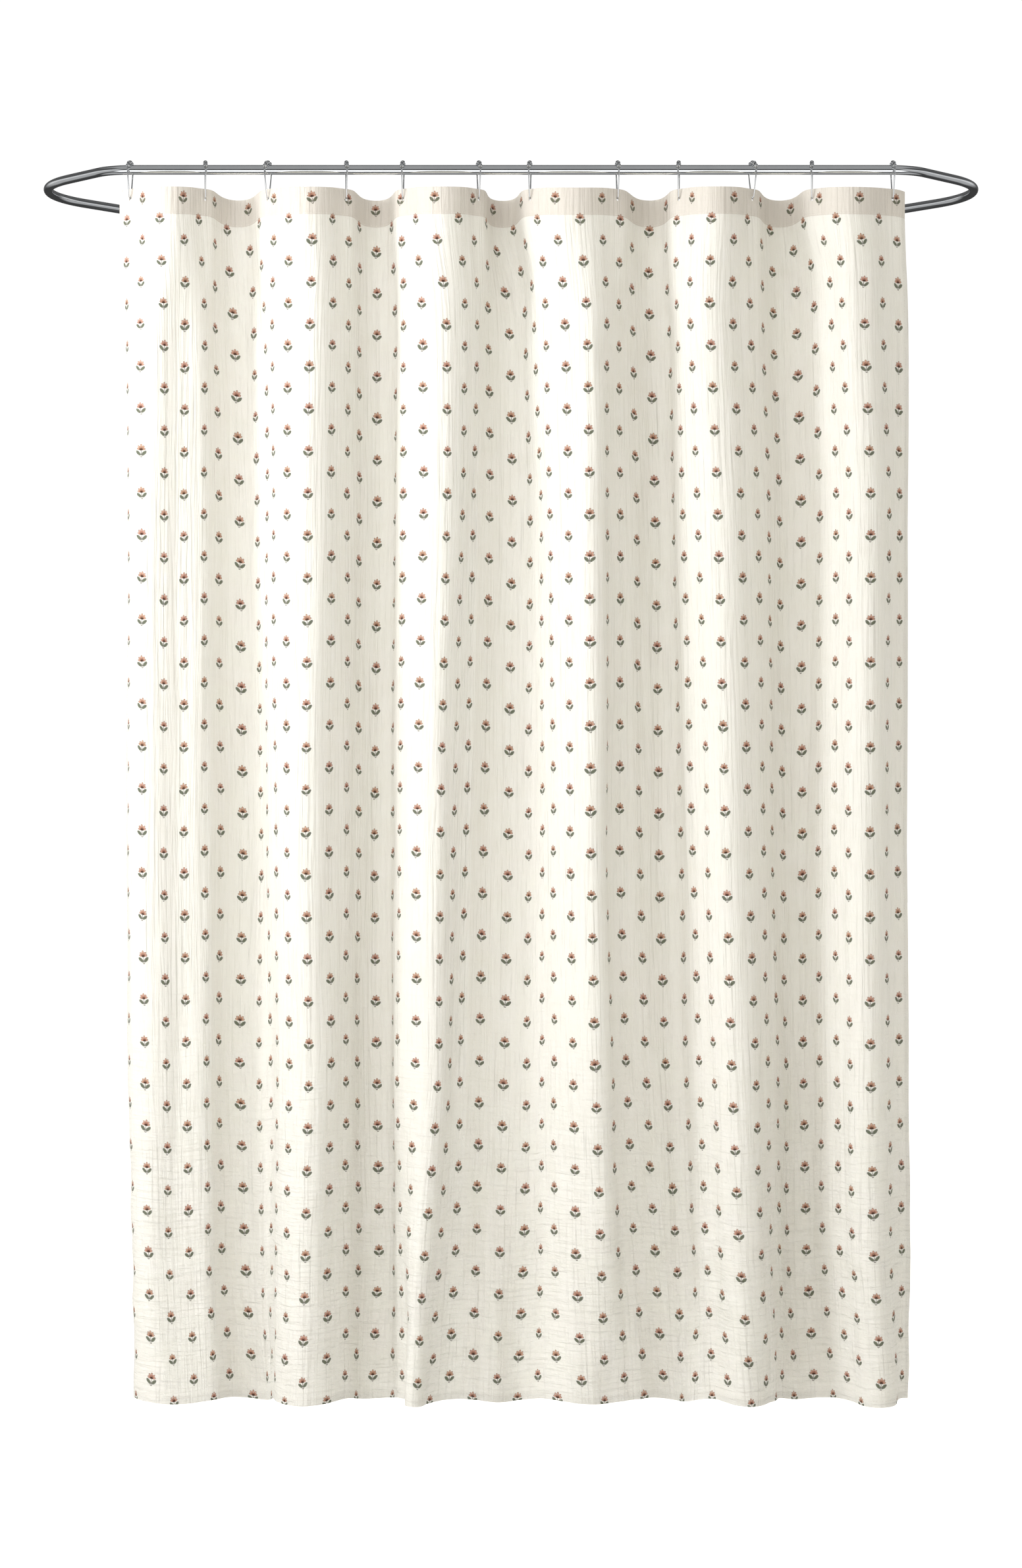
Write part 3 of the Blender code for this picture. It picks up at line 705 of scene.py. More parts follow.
@dataclass
class WallBrackets:
    """Two flanges with a post each, and a saddle that holds the rear bar."""

    wardrobe: Wardrobe
    bracket_x: float = 0.42
    flange_radius: float = 0.024
    flange_thickness: float = 0.005
    screw_z: float = 0.015
    head_radius: float = 0.0036
    head_depth: float = 0.0018
    shank_radius: float = 0.0019
    post_radius: float = 0.008
    collar_radius: float = 0.0102
    saddle_radius: float = 0.0115
    saddle_bore: float = 0.00745
    saddle_width: float = 0.022
    boss_radius: float = 0.0095
    boss_face_y: float = REAR_BAR_Y + 0.020
    hub_margin: float = 0.0006
    collar_height: float = 0.0022
    recess_length: float = 0.0036
    recess_width: float = 0.0008
    recess_depth: float = 0.0018
    gap: float = 0.0003

    def drum(self, name: str, radius: float, low: Vector, high: Vector, sides: int = 64,
             end_radius: float | None = None) -> bpy.types.Object:
        """A round blank from low to high, which is then shaped."""
        deselect()
        along = high - low
        bpy.ops.mesh.primitive_cone_add(vertices=sides, radius1=radius,
                                        radius2=radius if end_radius is None else end_radius,
                                        depth=along.length, location=(low + high) / 2,
                                        rotation=along.to_track_quat("Z", "Y").to_euler())
        made = bpy.context.object
        made.name = name
        settle(made)
        return made

    def soften(self, obj: bpy.types.Object, width: float, segments: int = 3) -> None:
        """Rounds the sharp edges of a blank."""
        bevel = obj.modifiers.new("Rounding", "BEVEL")
        bevel.width = width
        bevel.segments = segments
        bevel.limit_method = "ANGLE"
        bevel.angle_limit = math.radians(50)
        apply_modifiers(obj)

    def flange(self) -> bpy.types.Object:
        """A round plate with a raised hub ring and two countersunk holes."""
        plate = self.drum("wall_flange", self.flange_radius, Vector((0, -self.flange_thickness, 0)),
                          Vector((0, 0, 0)), 96)
        pick_faces(plate, lambda face: face.center.y < -self.flange_thickness + 0.0001)
        bpy.ops.mesh.inset(thickness=self.flange_radius - self.collar_radius - self.hub_margin)
        bpy.ops.object.mode_set(mode="OBJECT")
        self.soften(plate, 0.0012, 4)
        for up in (-1, 1):
            z = up * self.screw_z
            sink = self.drum("sink", self.head_radius + 2 * self.gap,
                             Vector((0, -self.flange_thickness - self.gap, z)),
                             Vector((0, -self.flange_thickness + self.head_depth + self.gap, z)),
                             32, self.shank_radius + self.gap)
            cut(plate, sink)
            hole = self.drum("hole", self.shank_radius + 1.7 * self.gap,
                             Vector((0, -self.flange_thickness - self.gap, z)),
                             Vector((0, self.gap, z)), 32)
            cut(plate, hole)
        rounded(plate, 30)
        return plate

    def post(self) -> bpy.types.Object:
        """A turned post with a collar against the flange."""
        bender = Bender("wall_post", self.collar_radius, 48,
                        Vector((0, -self.flange_thickness - self.gap, 0)), Vector((0, -1, 0)))
        bender.begin()
        bpy.ops.mesh.edge_face_add()
        bender.run(Vector((0, -self.collar_height, 0)))
        bpy.ops.mesh.inset(thickness=self.collar_radius - self.post_radius)
        length = -self.boss_face_y - self.flange_thickness - 2 * self.gap - self.collar_height
        bender.run(Vector((0, -length, 0)))
        post = bender.finish()
        self.soften(post, 0.0005)
        rounded(post, 30)
        return post

    def saddle(self) -> bpy.types.Object:
        """A clamp ring round the rear bar, with a boss towards the wall."""
        half = self.saddle_width / 2
        ring = self.drum("rod_saddle", self.saddle_radius, Vector((-half, REAR_BAR_Y, 0)),
                         Vector((half, REAR_BAR_Y, 0)), 64)
        boss = self.drum("boss", self.boss_radius, Vector((0, REAR_BAR_Y + 0.001, 0)),
                         Vector((0, self.boss_face_y, 0)), 64)
        cut(ring, boss, "UNION")
        bore = self.drum("bore", self.saddle_bore, Vector((-2 * half, REAR_BAR_Y, 0)),
                         Vector((2 * half, REAR_BAR_Y, 0)), 64)
        cut(ring, bore)
        self.soften(ring, 0.0007)
        rounded(ring, 30)
        return ring

    def screw(self) -> bpy.types.Object:
        """A countersunk screw with a cross recess, as deep as the flange."""
        face = -self.flange_thickness
        screw = self.drum("flange_screw", self.head_radius, Vector((0, face, 0)),
                          Vector((0, face + self.head_depth, 0)), 40, self.shank_radius)
        pick_faces(screw, lambda side: side.center.y > face + self.head_depth - 0.0001)
        depth = self.flange_thickness - self.gap - self.head_depth
        bpy.ops.mesh.extrude_region_move(TRANSFORM_OT_translate={"value": (0, depth, 0)})
        bpy.ops.object.mode_set(mode="OBJECT")
        for wide, tall in ((self.recess_length, self.recess_width),
                           (self.recess_width, self.recess_length)):
            deselect()
            bpy.ops.mesh.primitive_cube_add(size=1, location=(0, face, 0),
                                            scale=(wide, self.recess_depth, tall))
            slot = bpy.context.object
            settle(slot)
            cut(screw, slot)
        rounded(screw, 30)
        return screw

    def build(self) -> None:
        """Makes each shape once and sets a copy at both brackets."""
        plate, post, saddle, screw = self.flange(), self.post(), self.saddle(), self.screw()
        number = 0
        for side, x in (("left", -self.bracket_x), ("right", self.bracket_x)):
            at = Matrix.Translation((x, 0, 0))
            for source, name, node in ((plate, f"flange_{side}", f"wall_flange_{side}"),
                                       (post, f"post_{side}", f"wall_post_{side}"),
                                       (saddle, f"saddle_{side}", f"rod_saddle_{side}")):
                fit(copied(source, name, at), self.wardrobe.bracket, node,
                    Body.ROD.value)
            for z in (self.screw_z, -self.screw_z):
                number += 1
                piece = copied(screw, f"countersunk_screw_{number}", Matrix.Translation((x, 0, z)))
                fit(piece, self.wardrobe.steel, f"flange_screw_{number}",
                    Body.ROD.value)
        for source in (plate, post, saddle, screw):
            bpy.data.objects.remove(source, do_unlink=True)


# --------------------------------------------------------------- roller hooks


@dataclass
class RollerHooks:
    """Twelve pear-shaped wire hooks with five rolling beads each over the bar."""

    wardrobe: Wardrobe
    wire_radius: float = 0.00105
    wire_sides: int = 14
    arc_radius: float = 0.0130
    arc_centre_z: float = -0.0020
    end_radius: float = 0.0045
    end_centre_z: float = -0.0390
    bead_radius: float = 0.0033
    bead_half: float = 0.0029
    bead_cut: float = 0.9
    bead_bore: float = 0.0012
    bead_step: float = math.radians(28.2)

    def wire(self) -> bpy.types.Object:
        """Bends the closed pear in the plane X = 0, with the small end down."""
        drop = self.arc_centre_z - self.end_centre_z
        lean = math.asin((self.arc_radius - self.end_radius) / drop)
        reach = math.pi / 2 + lean
        big, small = Vector((0, 0, self.arc_centre_z)), Vector((0, 0, self.end_centre_z))
        start = big + self.arc_radius * Vector((0, -math.sin(reach), math.cos(reach)))
        bender = Bender("hook_wire", self.wire_radius, self.wire_sides, start,
                        Vector((0, math.cos(reach), math.sin(reach))))
        bender.begin()
        side = Vector((1, 0, 0))
        bender.bend(big, side, -2 * reach, 30)
        leg = (self.end_radius - self.arc_radius) * Vector((0, math.sin(reach), math.cos(reach)))
        bender.run(small - big + leg)
        bender.bend(small, side, -(2 * math.pi - 2 * reach), 14)
        bender.run(big - small - (self.end_radius - self.arc_radius)
                   * Vector((0, -math.sin(reach), math.cos(reach))))
        wire = bender.finish(0.00005)
        rounded(wire, 60)
        return wire

    def bead(self) -> bpy.types.Object:
        """A drilled bead about the origin, with its hole along Y."""
        deselect()
        bpy.ops.mesh.primitive_uv_sphere_add(segments=20, ring_count=14, radius=self.bead_radius,
                                             rotation=(math.pi / 2, 0, 0))
        bead = bpy.context.object
        settle(bead)
        bpy.ops.object.mode_set(mode="EDIT")
        for way in (-1, 1):
            bpy.ops.mesh.select_all(action="SELECT")
            bpy.ops.mesh.bisect(plane_co=(0, way * self.bead_half * self.bead_cut, 0), plane_no=(0, way, 0),
                                use_fill=True, clear_outer=True)
        pick_faces(bead, lambda face: abs(face.normal.y) > 0.999)
        end_radius = math.sqrt(self.bead_radius ** 2 - (self.bead_cut * self.bead_half) ** 2)
        bpy.ops.mesh.inset(thickness=end_radius - self.bead_bore)
        bpy.ops.mesh.bridge_edge_loops()
        bpy.ops.object.mode_set(mode="OBJECT")
        outward(bead)
        rounded(bead, 40)
        return bead

    def build(self) -> None:
        """Bends one hook, strings its beads, and hangs a copy at each place."""
        wire, bead = self.wire(), self.bead()
        strung = []
        for k in range(-2, 3):
            turn = k * self.bead_step
            at = Matrix.Translation((0, self.arc_radius * math.sin(turn),
                                     self.arc_centre_z + self.arc_radius * math.cos(turn)))
            strung.append(copied(bead, f"bead_{k}", at @ Matrix.Rotation(-turn, 4, "X")))
        beads = joined("hook_beads", strung)
        for number, (x, yaw) in enumerate(zip(HOOK_X, HOOK_YAW_DEG), start=1):
            at = Matrix.Translation((x, FRONT_BAR_Y, 0)) \
                @ Matrix.Rotation(-math.radians(yaw), 4, "Z")
            body = hook_body(number)
            for source, kind, node, finish, slot in (
                    (wire, "spring_wire", "wire", self.wardrobe.wire, "chrome_wire"),
                    (beads, "beads", "rollers", self.wardrobe.bead, "chrome_bead")):
                piece = copied(source, f"hook_{number:02d}_{kind}", at)
                fit(piece, finish, f"hook_{number:02d}_{node}", body)
        for source in (wire, bead, beads):
            bpy.data.objects.remove(source, do_unlink=True)


# -------------------------------------------------------------------- curtain


@dataclass(frozen=True)
class FoldLevel:
    """The folds at one depth below the top edge.

    first_x is where the first hook line lies, widths_mm the eleven widths between hook lines, and
    headings_deg the cloth's heading at each hook line and at three places after it, ending with
    the last hook line and the right edge. Below zero the cloth turns towards the room. The values
    were fitted to the real folds beforehand, then rounded and adjusted.
    """

    depth: float
    first_x: float
    widths_mm: tuple[int, ...]
    headings_deg: tuple[int, ...]


FOLD_LEVELS = (
    FoldLevel(0.13, -0.577, (120, 91, 119, 88, 114, 88, 115, 94, 115, 105, 107),
              (-63, -34, 53, 24, 82, 59, -50, -59, -78, -32, -34, 44, 63, 75, 21, -85,
               -58, -10, 41, 49, 88, 30, -70, -64, -72, -23, -45, 66, 65, 51, 38, -91,
               -62, -67, 10, 47, 45, 82, 10, -61, -47, -88, 3, 54, 38, 15)),
    FoldLevel(0.45, -0.578, (122, 95, 111, 91, 111, 100, 108, 102, 117, 102, 104),
              (-81, 19, 50, 23, 74, 43, -59, -56, -86, -47, -31, 50, 55, 71, 26, -93,
               -49, -6, 50, 69, 58, 29, -55, -67, -76, -27, -50, 88, 41, 51, 30, -94,
               -51, -61, -6, 48, 56, 72, 31, -70, -41, -75, -26, 65, 55, 31)),
    FoldLevel(1.00, -0.579, (124, 93, 112, 83, 106, 118, 104, 116, 108, 94, 103),
              (-81, 23, 46, 25, 67, 36, -54, -80, -68, -65, -36, 45, 59, 61, 40, -85,
               -56, -11, 63, 62, 56, 21, -51, -62, -73, -32, -53, 95, 29, 43, 44, -91,
               -43, -71, 9, 55, 60, 69, 34, -73, -46, -74, -21, 70, 53, 23)),
    FoldLevel(1.30, -0.576, (124, 95, 105, 85, 99, 127, 111, 117, 105, 91, 101),
              (-77, 28, 47, 17, 77, 53, -50, -61, -80, -46, -32, 48, 58, 76, 6, -100,
               -51, -10, 63, 71, 48, 18, -39, -54, -73, -34, -53, 92, 38, 33, 52, -85,
               -39, -71, -11, 64, 57, 76, 43, -72, -46, -70, -38, 68, 52, 20)),
    FoldLevel(1.60, -0.570, (122, 88, 104, 92, 90, 132, 126, 113, 99, 90, 101),
              (-81, 33, 44, 24, 68, 40, -62, -58, -84, -57, -32, 61, 48, 80, -10, -100,
               -60, -75, 50, 50, 37, 10, 20, -52, -70, -25, -30, 80, 34, 30, 20, -88,
               -31, -75, 10, 67, 64, 75, 43, -74, -48, -70, -34, 71, 56, 25)),
    FoldLevel(1.83, -0.564, (124, 78, 104, 96, 80, 142, 138, 109, 95, 97, 89),
              (-74, 8, 44, 30, 66, 28, -70, -85, -78, -62, -36, 42, 60, 72, 32, -90,
               -40, -120, 80, 30, 16, 8, 52, -40, -45, -8, 48, 26, 54, 10, -80, -45,
               -42, -60, 65, 60, 80, 54, 47, -72, -56, -58, -44, 85, 72, 40)),
)


def smooth_noise(u: np.ndarray, v: np.ndarray, size_u: float, size_v: float, seed: int) -> np.ndarray:
    """Seeded smooth noise between about -1 and 1.

    Args:
        u: Places across the cloth, in metres.
        v: Places down the cloth, in metres, of the same shape.
        size_u: Size of a bump across.
        size_v: Size of a bump down.
        seed: Picks the pattern.

    Returns:
        The noise at each place.
    """
    chance = np.random.default_rng(seed)
    lattice = chance.uniform(-1.0, 1.0, (int(2.2 / size_v) + 6, int(2.2 / size_u) + 6))
    total = np.zeros(np.broadcast(u, v).shape)
    du, dv = u / size_u + 1.0, v / size_v + 1.0
    iu, iv = np.floor(du).astype(int), np.floor(dv).astype(int)
    tu, tv = du - iu, dv - iv

    def weights(t: np.ndarray) -> list[np.ndarray]:
        """Cubic B-spline weights of the four nearest lattice points."""
        return [(1 - t) ** 3 / 6, (3 * t ** 3 - 6 * t ** 2 + 4) / 6,
                (-3 * t ** 3 + 3 * t ** 2 + 3 * t + 1) / 6, t ** 3 / 6]

    for j, wv in enumerate(weights(tv)):
        for i, wu in enumerate(weights(tu)):
            total += wv * wu * lattice[iv + j, iu + i]
    return 1.8 * total


def ease(value: np.ndarray | float, low: float, high: float) -> np.ndarray | float:
    """Rises smoothly from zero at low to one at high."""
    share = np.clip((value - low) / (high - low), 0.0, 1.0)
    return share * share * (3 - 2 * share)


@dataclass
class Drape:
    """The hanging cloth's surface: where a point of the flat cloth lies once it is hung."""

    width: float = 1.8288
    height: float = 1.8288
    margin: float = 0.0254
    top_z: float = -0.029
    crest_sag: float = 0.004
    valley_sag: float = 0.0085
    header: float = 0.041
    wall_flatness: float = 1.5
    pinch: float = 0.45
    pinch_width: float = 0.014
    steps: int = 720
    across: np.ndarray = field(init=False)
    hook_u: np.ndarray = field(init=False)
    depths: np.ndarray = field(init=False)
    xs: np.ndarray = field(init=False)
    ys: np.ndarray = field(init=False)

    def __post_init__(self) -> None:
        """Works out the folds at every depth once."""
        self.across = np.linspace(0, self.width, self.steps + 1)
        pitch = (self.width - 2 * self.margin) / (len(HOOK_X) - 1)
        self.hook_u = self.margin + pitch * np.arange(len(HOOK_X))
        self.depths = np.linspace(0, self.height, 184)
        top = self.top_headings(pitch)
        rows = [self.lay(v, top) for v in self.depths]
        self.xs = self.softened(np.array([x for x, _ in rows]))
        self.ys = self.softened(np.array([y for _, y in rows]))

    def running_sum(self, values: np.ndarray) -> np.ndarray:
        """The integral of values along the cloth, from its left edge."""
        return np.concatenate([[0], np.cumsum((values[1:] + values[:-1]) / 2) * self.across[1]])

    def top_headings(self, pitch: float) -> np.ndarray:
        """The headings along the header, where the hooks hold the cloth."""
        gaps = np.diff(HOOK_X)
        middle = (self.hook_u[1:] + self.hook_u[:-1]) / 2
        wave = -np.cos(np.pi * (self.across - self.hook_u[0]) / pitch)
        walls = np.tanh(self.wall_flatness * wave) / math.tanh(self.wall_flatness)
        nearest = np.abs(self.across[:, None] - self.hook_u[None, :]).min(axis=1)
        shape = walls * (1 - self.pinch * np.exp(-((nearest / self.pinch_width) ** 2)))
        strengths = np.arccos(gaps / pitch)
        for _ in range(80):
            heading = shape * np.interp(self.across, middle, strengths)
            x = np.interp(self.hook_u, self.across, self.running_sum(np.cos(heading)))
            strengths = strengths + 5.0 * (np.diff(x) - gaps)
        return shape * np.interp(self.across, middle, strengths)

    def body_headings(self, v: float) -> np.ndarray:
        """The headings below the header, read between the fold levels."""
        depths = [level.depth for level in FOLD_LEVELS]
        knots = np.array([level.headings_deg for level in FOLD_LEVELS], float)
        row = np.radians([np.interp(v, depths, column) for column in knots.T])
        places = np.linspace(self.hook_u[0], self.hook_u[-1], 4 * (len(HOOK_X) - 1) + 1)
        heading = np.interp(self.across, [*places, self.width], row)
        kernel = np.exp(-(np.arange(-12, 13) / 6.0) ** 2)
        return np.convolve(np.pad(heading, 12, mode="edge"), kernel / kernel.sum(), mode="valid")

    def lay(self, v: float, top: np.ndarray) -> tuple[np.ndarray, np.ndarray]:
        """Lays the cloth at one depth.

        Args:
            v: Depth below the top edge.
            top: The header's headings.

        Returns:
            X and Y along the cloth.
        """
        share = float(ease(v, self.header, 0.22))
        heading = (1 - share) * top + share * self.body_headings(v)
        depths = [self.header] + [level.depth for level in FOLD_LEVELS]
        lines = [np.array(HOOK_X)]
        for level in FOLD_LEVELS:
            lines.append(level.first_x + np.concatenate([[0], np.cumsum(level.widths_mm)]) / 1000)
        wanted = np.array([np.interp(v, depths, column) for column in np.array(lines).T])
        x, y = self.running_sum(np.cos(heading)), self.running_sum(np.sin(heading))
        x += np.interp(self.across, self.hook_u, wanted - np.interp(self.hook_u, self.across, x))
        y -= np.interp(self.across, self.hook_u, np.interp(self.hook_u, self.across, y))
        y -= min(v / 0.4, 1.0) * y.mean()
        return x, y + FRONT_BAR_Y

    def softened(self, rows: np.ndarray) -> np.ndarray:
        """Smooths the folds down the cloth, and leaves the header as it is."""
        reach = 5
        kernel = np.exp(-(np.arange(-reach, reach + 1) / 2.5) ** 2)
        padded = np.pad(rows, ((reach, reach), (0, 0)), mode="edge")
        smooth = sum(k * padded[i:i + len(rows)] for i, k in enumerate(kernel / kernel.sum()))
        share = ease(self.depths, 0.05, 0.12)[:, None]
        return (1 - share) * rows + share * smooth

    def sag(self, u: np.ndarray) -> np.ndarray:
        """How far the top edge dips between its hooks."""
        place = (u - self.hook_u[0]) / (self.hook_u[1] - self.hook_u[0])
        deep = np.where(np.floor(place) % 2 == 0, self.crest_sag, self.valley_sag)
        return deep * np.sin(np.pi * place) ** 2

    def crease(self, u: np.ndarray, v: np.ndarray) -> np.ndarray:
        """How far washed-in creases push the cloth out, backwards positive."""
        free = ease(v, 0.030, 0.16)
        low = ease(v, 1.05, 1.75)
        broad = 0.0022 * smooth_noise(u, v, 0.052, 0.34, 11)
        ridge = 0.0012 * (1 - 2 * np.abs(smooth_noise(u, v, 0.026, 0.22, 23)))
        fine = 0.0005 * smooth_noise(u, v, 0.011, 0.12, 37)
        cross = 0.0016 * low * smooth_noise(u, v, 0.055, 0.024, 51)
        return free * (broad + ridge + cross) + (0.25 + 0.75 * free) * fine

    def place(self, u: np.ndarray, v: np.ndarray, behind: np.ndarray | float = 0.0) -> np.ndarray:
        """Where points of the flat cloth hang.

        Args:
            u: Metres across the flat cloth.
            v: Metres below its top edge, of the same shape.
            behind: How far behind the cloth's middle each point lies.

        Returns:
            An array of points, one more axis than u.
        """
        step = self.depths[1]
        row = np.clip(v / step, 0, len(self.depths) - 1.000001)
        low = row.astype(int)
        part = row - low
        column = np.clip(u / self.across[1], 0, self.steps - 0.000001)
        left = column.astype(int)
        side = column - left

        def read(grid: np.ndarray) -> np.ndarray:
            """Reads a grid between its rows and columns."""
            top = grid[low, left] * (1 - side) + grid[low, left + 1] * side
            base = grid[low + 1, left] * (1 - side) + grid[low + 1, left + 1] * side
            return top * (1 - part) + base * part

        tx, ty = np.gradient(self.xs, axis=1), np.gradient(self.ys, axis=1)
        run = np.hypot(tx, ty)
        out = behind + self.crease(u, v)
        x = read(self.xs) - out * read(ty / run)
        y = read(self.ys) + out * read(tx / run)
        return np.stack([x, y, self.top_z - self.sag(u) - v], axis=-1)


@dataclass
class Curtain:
    """The cloth panel with its header facing, hems, stitching and sewn buttonholes."""

    wardrobe: Wardrobe
    drape: Drape = field(default_factory=Drape)
    thickness: float = 0.0008
    facing_thickness: float = 0.0005
    facing_behind: float = 0.0010
    bottom_hem: float = 0.011
    side_hem: float = 0.008
    slit_half: float = 0.0019
    slit_top: float = 0.0115
    slit_bottom: float = 0.0175
    columns: int = 470
    pieces: list[bpy.types.Object] = field(default_factory=list)

    def column_places(self) -> np.ndarray:
        """Places across the cloth, with two moved to each slit's edges."""
        places = np.linspace(0, self.drape.width, self.columns)
        for u in self.drape.hook_u:
            for edge in (u - self.slit_half, u + self.slit_half):
                places[np.abs(places - edge).argmin()] = edge
        return places

    def row_places(self) -> np.ndarray:
        """Places down the cloth: close at the header and hem, wider between."""
        head = [0.0, 0.004, 0.008, self.slit_top, 0.0145, self.slit_bottom, 0.023, 0.029, 0.035,
                self.drape.header]
        hem = self.drape.height - self.bottom_hem
        body = list(np.arange(self.drape.header + 0.02, 1.22, 0.024))
        low = list(np.linspace(1.23, hem, 46))
        return np.array(head + body + low + [hem + 0.0055, self.drape.height])

    def skin(self, name: str, us: np.ndarray, vs: np.ndarray, behind: float, thickness: float,
             slits: bool) -> bpy.types.Object:
        """A sheet of cloth with two faces and a closed rim.

        Args:
            name: The piece's name.
            us: Column places.
            vs: Row places.
            behind: How far behind the panel's middle its own middle lies.
            thickness: Its thickness.
            slits: Whether the buttonholes are cut in it.

        Returns:
            The new object.
        """
        grid_u, grid_v = np.meshgrid(us, vs)
        points = self.drape.place(grid_u, grid_v, behind)
        numbers = np.arange(grid_u.size).reshape(grid_u.shape)
        quads = np.stack([numbers[:-1, :-1], numbers[1:, :-1], numbers[1:, 1:], numbers[:-1, 1:]],
                         axis=-1).reshape(-1, 4)
        if slits:
            centre_u = (grid_u[:-1, :-1] + grid_u[:-1, 1:]).ravel() / 2
            centre_v = (grid_v[:-1, :-1] + grid_v[1:, :-1]).ravel() / 2
            close = np.abs(centre_u[:, None] - self.drape.hook_u[None, :]).min(axis=1)
            held = (close > self.slit_half) | (centre_v < self.slit_top) | (centre_v > self.slit_bottom)
            quads = quads[held]
        obj = from_points(name, points.reshape(-1, 3).tolist(), quads.tolist())
        flat = obj.data.attributes.new("flat_mm", "FLOAT_VECTOR", "POINT")
        values = np.stack([grid_u, grid_v, 0 * grid_u], axis=-1).reshape(-1, 3) * 1000
        flat.data.foreach_set("vector", values.ravel().astype(np.float32))
        make_active(obj)
        bpy.ops.object.mode_set(mode="EDIT")
        bpy.ops.mesh.select_all(action="SELECT")
        bpy.ops.mesh.delete_loose(use_verts=True, use_edges=True, use_faces=False)
        bpy.ops.object.mode_set(mode="OBJECT")
        solid = obj.modifiers.new("Cloth thickness", "SOLIDIFY")
        solid.thickness = thickness
        solid.offset = 0
        apply_modifiers(obj)
        rounded(obj, 60)
        return obj

    def stitch_line(self, us: np.ndarray, vs: np.ndarray, down: bool) -> tuple[list, list]:
        """Small lozenge stitches on both faces of the cloth.

        Args:
            us: Stitch middles across the cloth.
            vs: Stitch middles down the cloth.
            down: True when the line runs down the cloth.

        Returns:
            Corner points and triangles.
        """
        half, wide, high, proud = 0.0016, 0.00032, 0.00022, 0.0001
        points, faces = [], []
        for face_at in (-self.thickness / 2 - proud,
                        self.facing_behind + self.facing_thickness / 2 + proud):
            steps = ((half, 0, 0), (-half, 0, 0), (0, wide, 0), (0, -wide, 0), (0, 0, high),
                     (0, 0, -high))
            for u, v in zip(us, vs):
                first = len(points)
                corner_u = [u + (b if down else a) for a, b, _ in steps]
                corner_v = [v + (a if down else b) for a, b, _ in steps]
                away = [face_at + c for _, _, c in steps]
                points += self.drape.place(np.array(corner_u), np.array(corner_v),
                                           np.array(away)).tolist()
                for end in (0, 1):
                    ring = (2, 4, 3, 5) if end == 0 else (2, 5, 3, 4)
                    faces += [(first + end, first + ring[k], first + ring[(k + 1) % 4])
                              for k in range(4)]
        return points, faces

    def stitching(self) -> bpy.types.Object:
        """The sewing lines of the header and of the three hems."""
        pitch = 0.0042
        long = np.arange(0.004, self.drape.width - 0.003, pitch)
        tall = np.arange(self.drape.header + 0.004, self.drape.height - 0.012, pitch)
        lines = [(long, np.full(long.shape, self.drape.header - 0.0022), False),
                 (long, np.full(long.shape, self.drape.height - self.bottom_hem + 0.0018), False),
                 (np.full(tall.shape, self.side_hem - 0.0016), tall, True),
                 (np.full(tall.shape, self.drape.width - self.side_hem + 0.0016), tall, True)]
        points: list = []
        faces: list = []
        for us, vs, down in lines:
            more, links = self.stitch_line(us, vs, down)
            faces += [tuple(len(points) + k for k in link) for link in links]
            points += more
        obj = from_points("hem_stitching", points, faces)
        outward(obj, 0.0000001)
        rounded(obj, 60)
        return obj

    def buttonhole(self, number: int) -> bpy.types.Object:
        """A rim of close stitches round one slit.

        Args:
            number: Which buttonhole, from the left.

        Returns:
            The rim.
        """
        u = float(self.drape.hook_u[number - 1])
        straight = (self.slit_bottom - self.slit_top) / 2 - 0.0016
        bend = self.slit_half + 0.0006
        middle = (self.slit_top + self.slit_bottom) / 2
        count, around = 112, 8
        length = 4 * straight + 2 * math.pi * bend
        path = []
        for k in range(count):
            s = length * k / count
            if s < 2 * straight:
                path.append((bend, -straight + s, 1.0, 0.0))
            elif s < 2 * straight + math.pi * bend:
                a = (s - 2 * straight) / bend
                path.append((bend * math.cos(a), straight + bend * math.sin(a),
                             math.cos(a), math.sin(a)))
            elif s < 4 * straight + math.pi * bend:
                path.append((-bend, straight - (s - 2 * straight - math.pi * bend), -1.0, 0.0))
            else:
                a = math.pi + (s - 4 * straight - math.pi * bend) / bend
                path.append((bend * math.cos(a), -straight + bend * math.sin(a),
                             math.cos(a), math.sin(a)))
        us, vs, away = [], [], []
        for k, (across, down, out_u, out_v) in enumerate(path):
            lift = 1.0 if k % 2 else 0.74
            for j in range(around):
                a = 2 * math.pi * j / around
                wide = 0.0007 * lift * math.cos(a)
                us.append(u + across + wide * out_u)
                vs.append(middle + down + wide * out_v)
                away.append(0.0004 + 0.0010 * lift * math.sin(a))
        points = self.drape.place(np.array(us), np.array(vs), np.array(away))
        faces = []
        for k in range(count):
            for j in range(around):
                a, b = k * around + j, k * around + (j + 1) % around
                c, d = (k + 1) % count * around + (j + 1) % around, (k + 1) % count * around + j
                faces.append((a, b, c, d))
        obj = from_points(f"sewn_buttonhole_{number:02d}", points.tolist(), faces)
        outward(obj, 0.0000001)
        rounded(obj, 80)
        return obj

    def hang(self, obj: bpy.types.Object, finish: bpy.types.Material,
             node: str | None) -> None:
        """Dresses a cloth piece and lets it gather as the curtain is drawn."""
        dress(obj, finish)
        if node:
            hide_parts(node)
        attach(obj, Body.DRAPE.value)
        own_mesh(obj)
        report(obj, Body.DRAPE.value)
        self.pieces.append(obj)

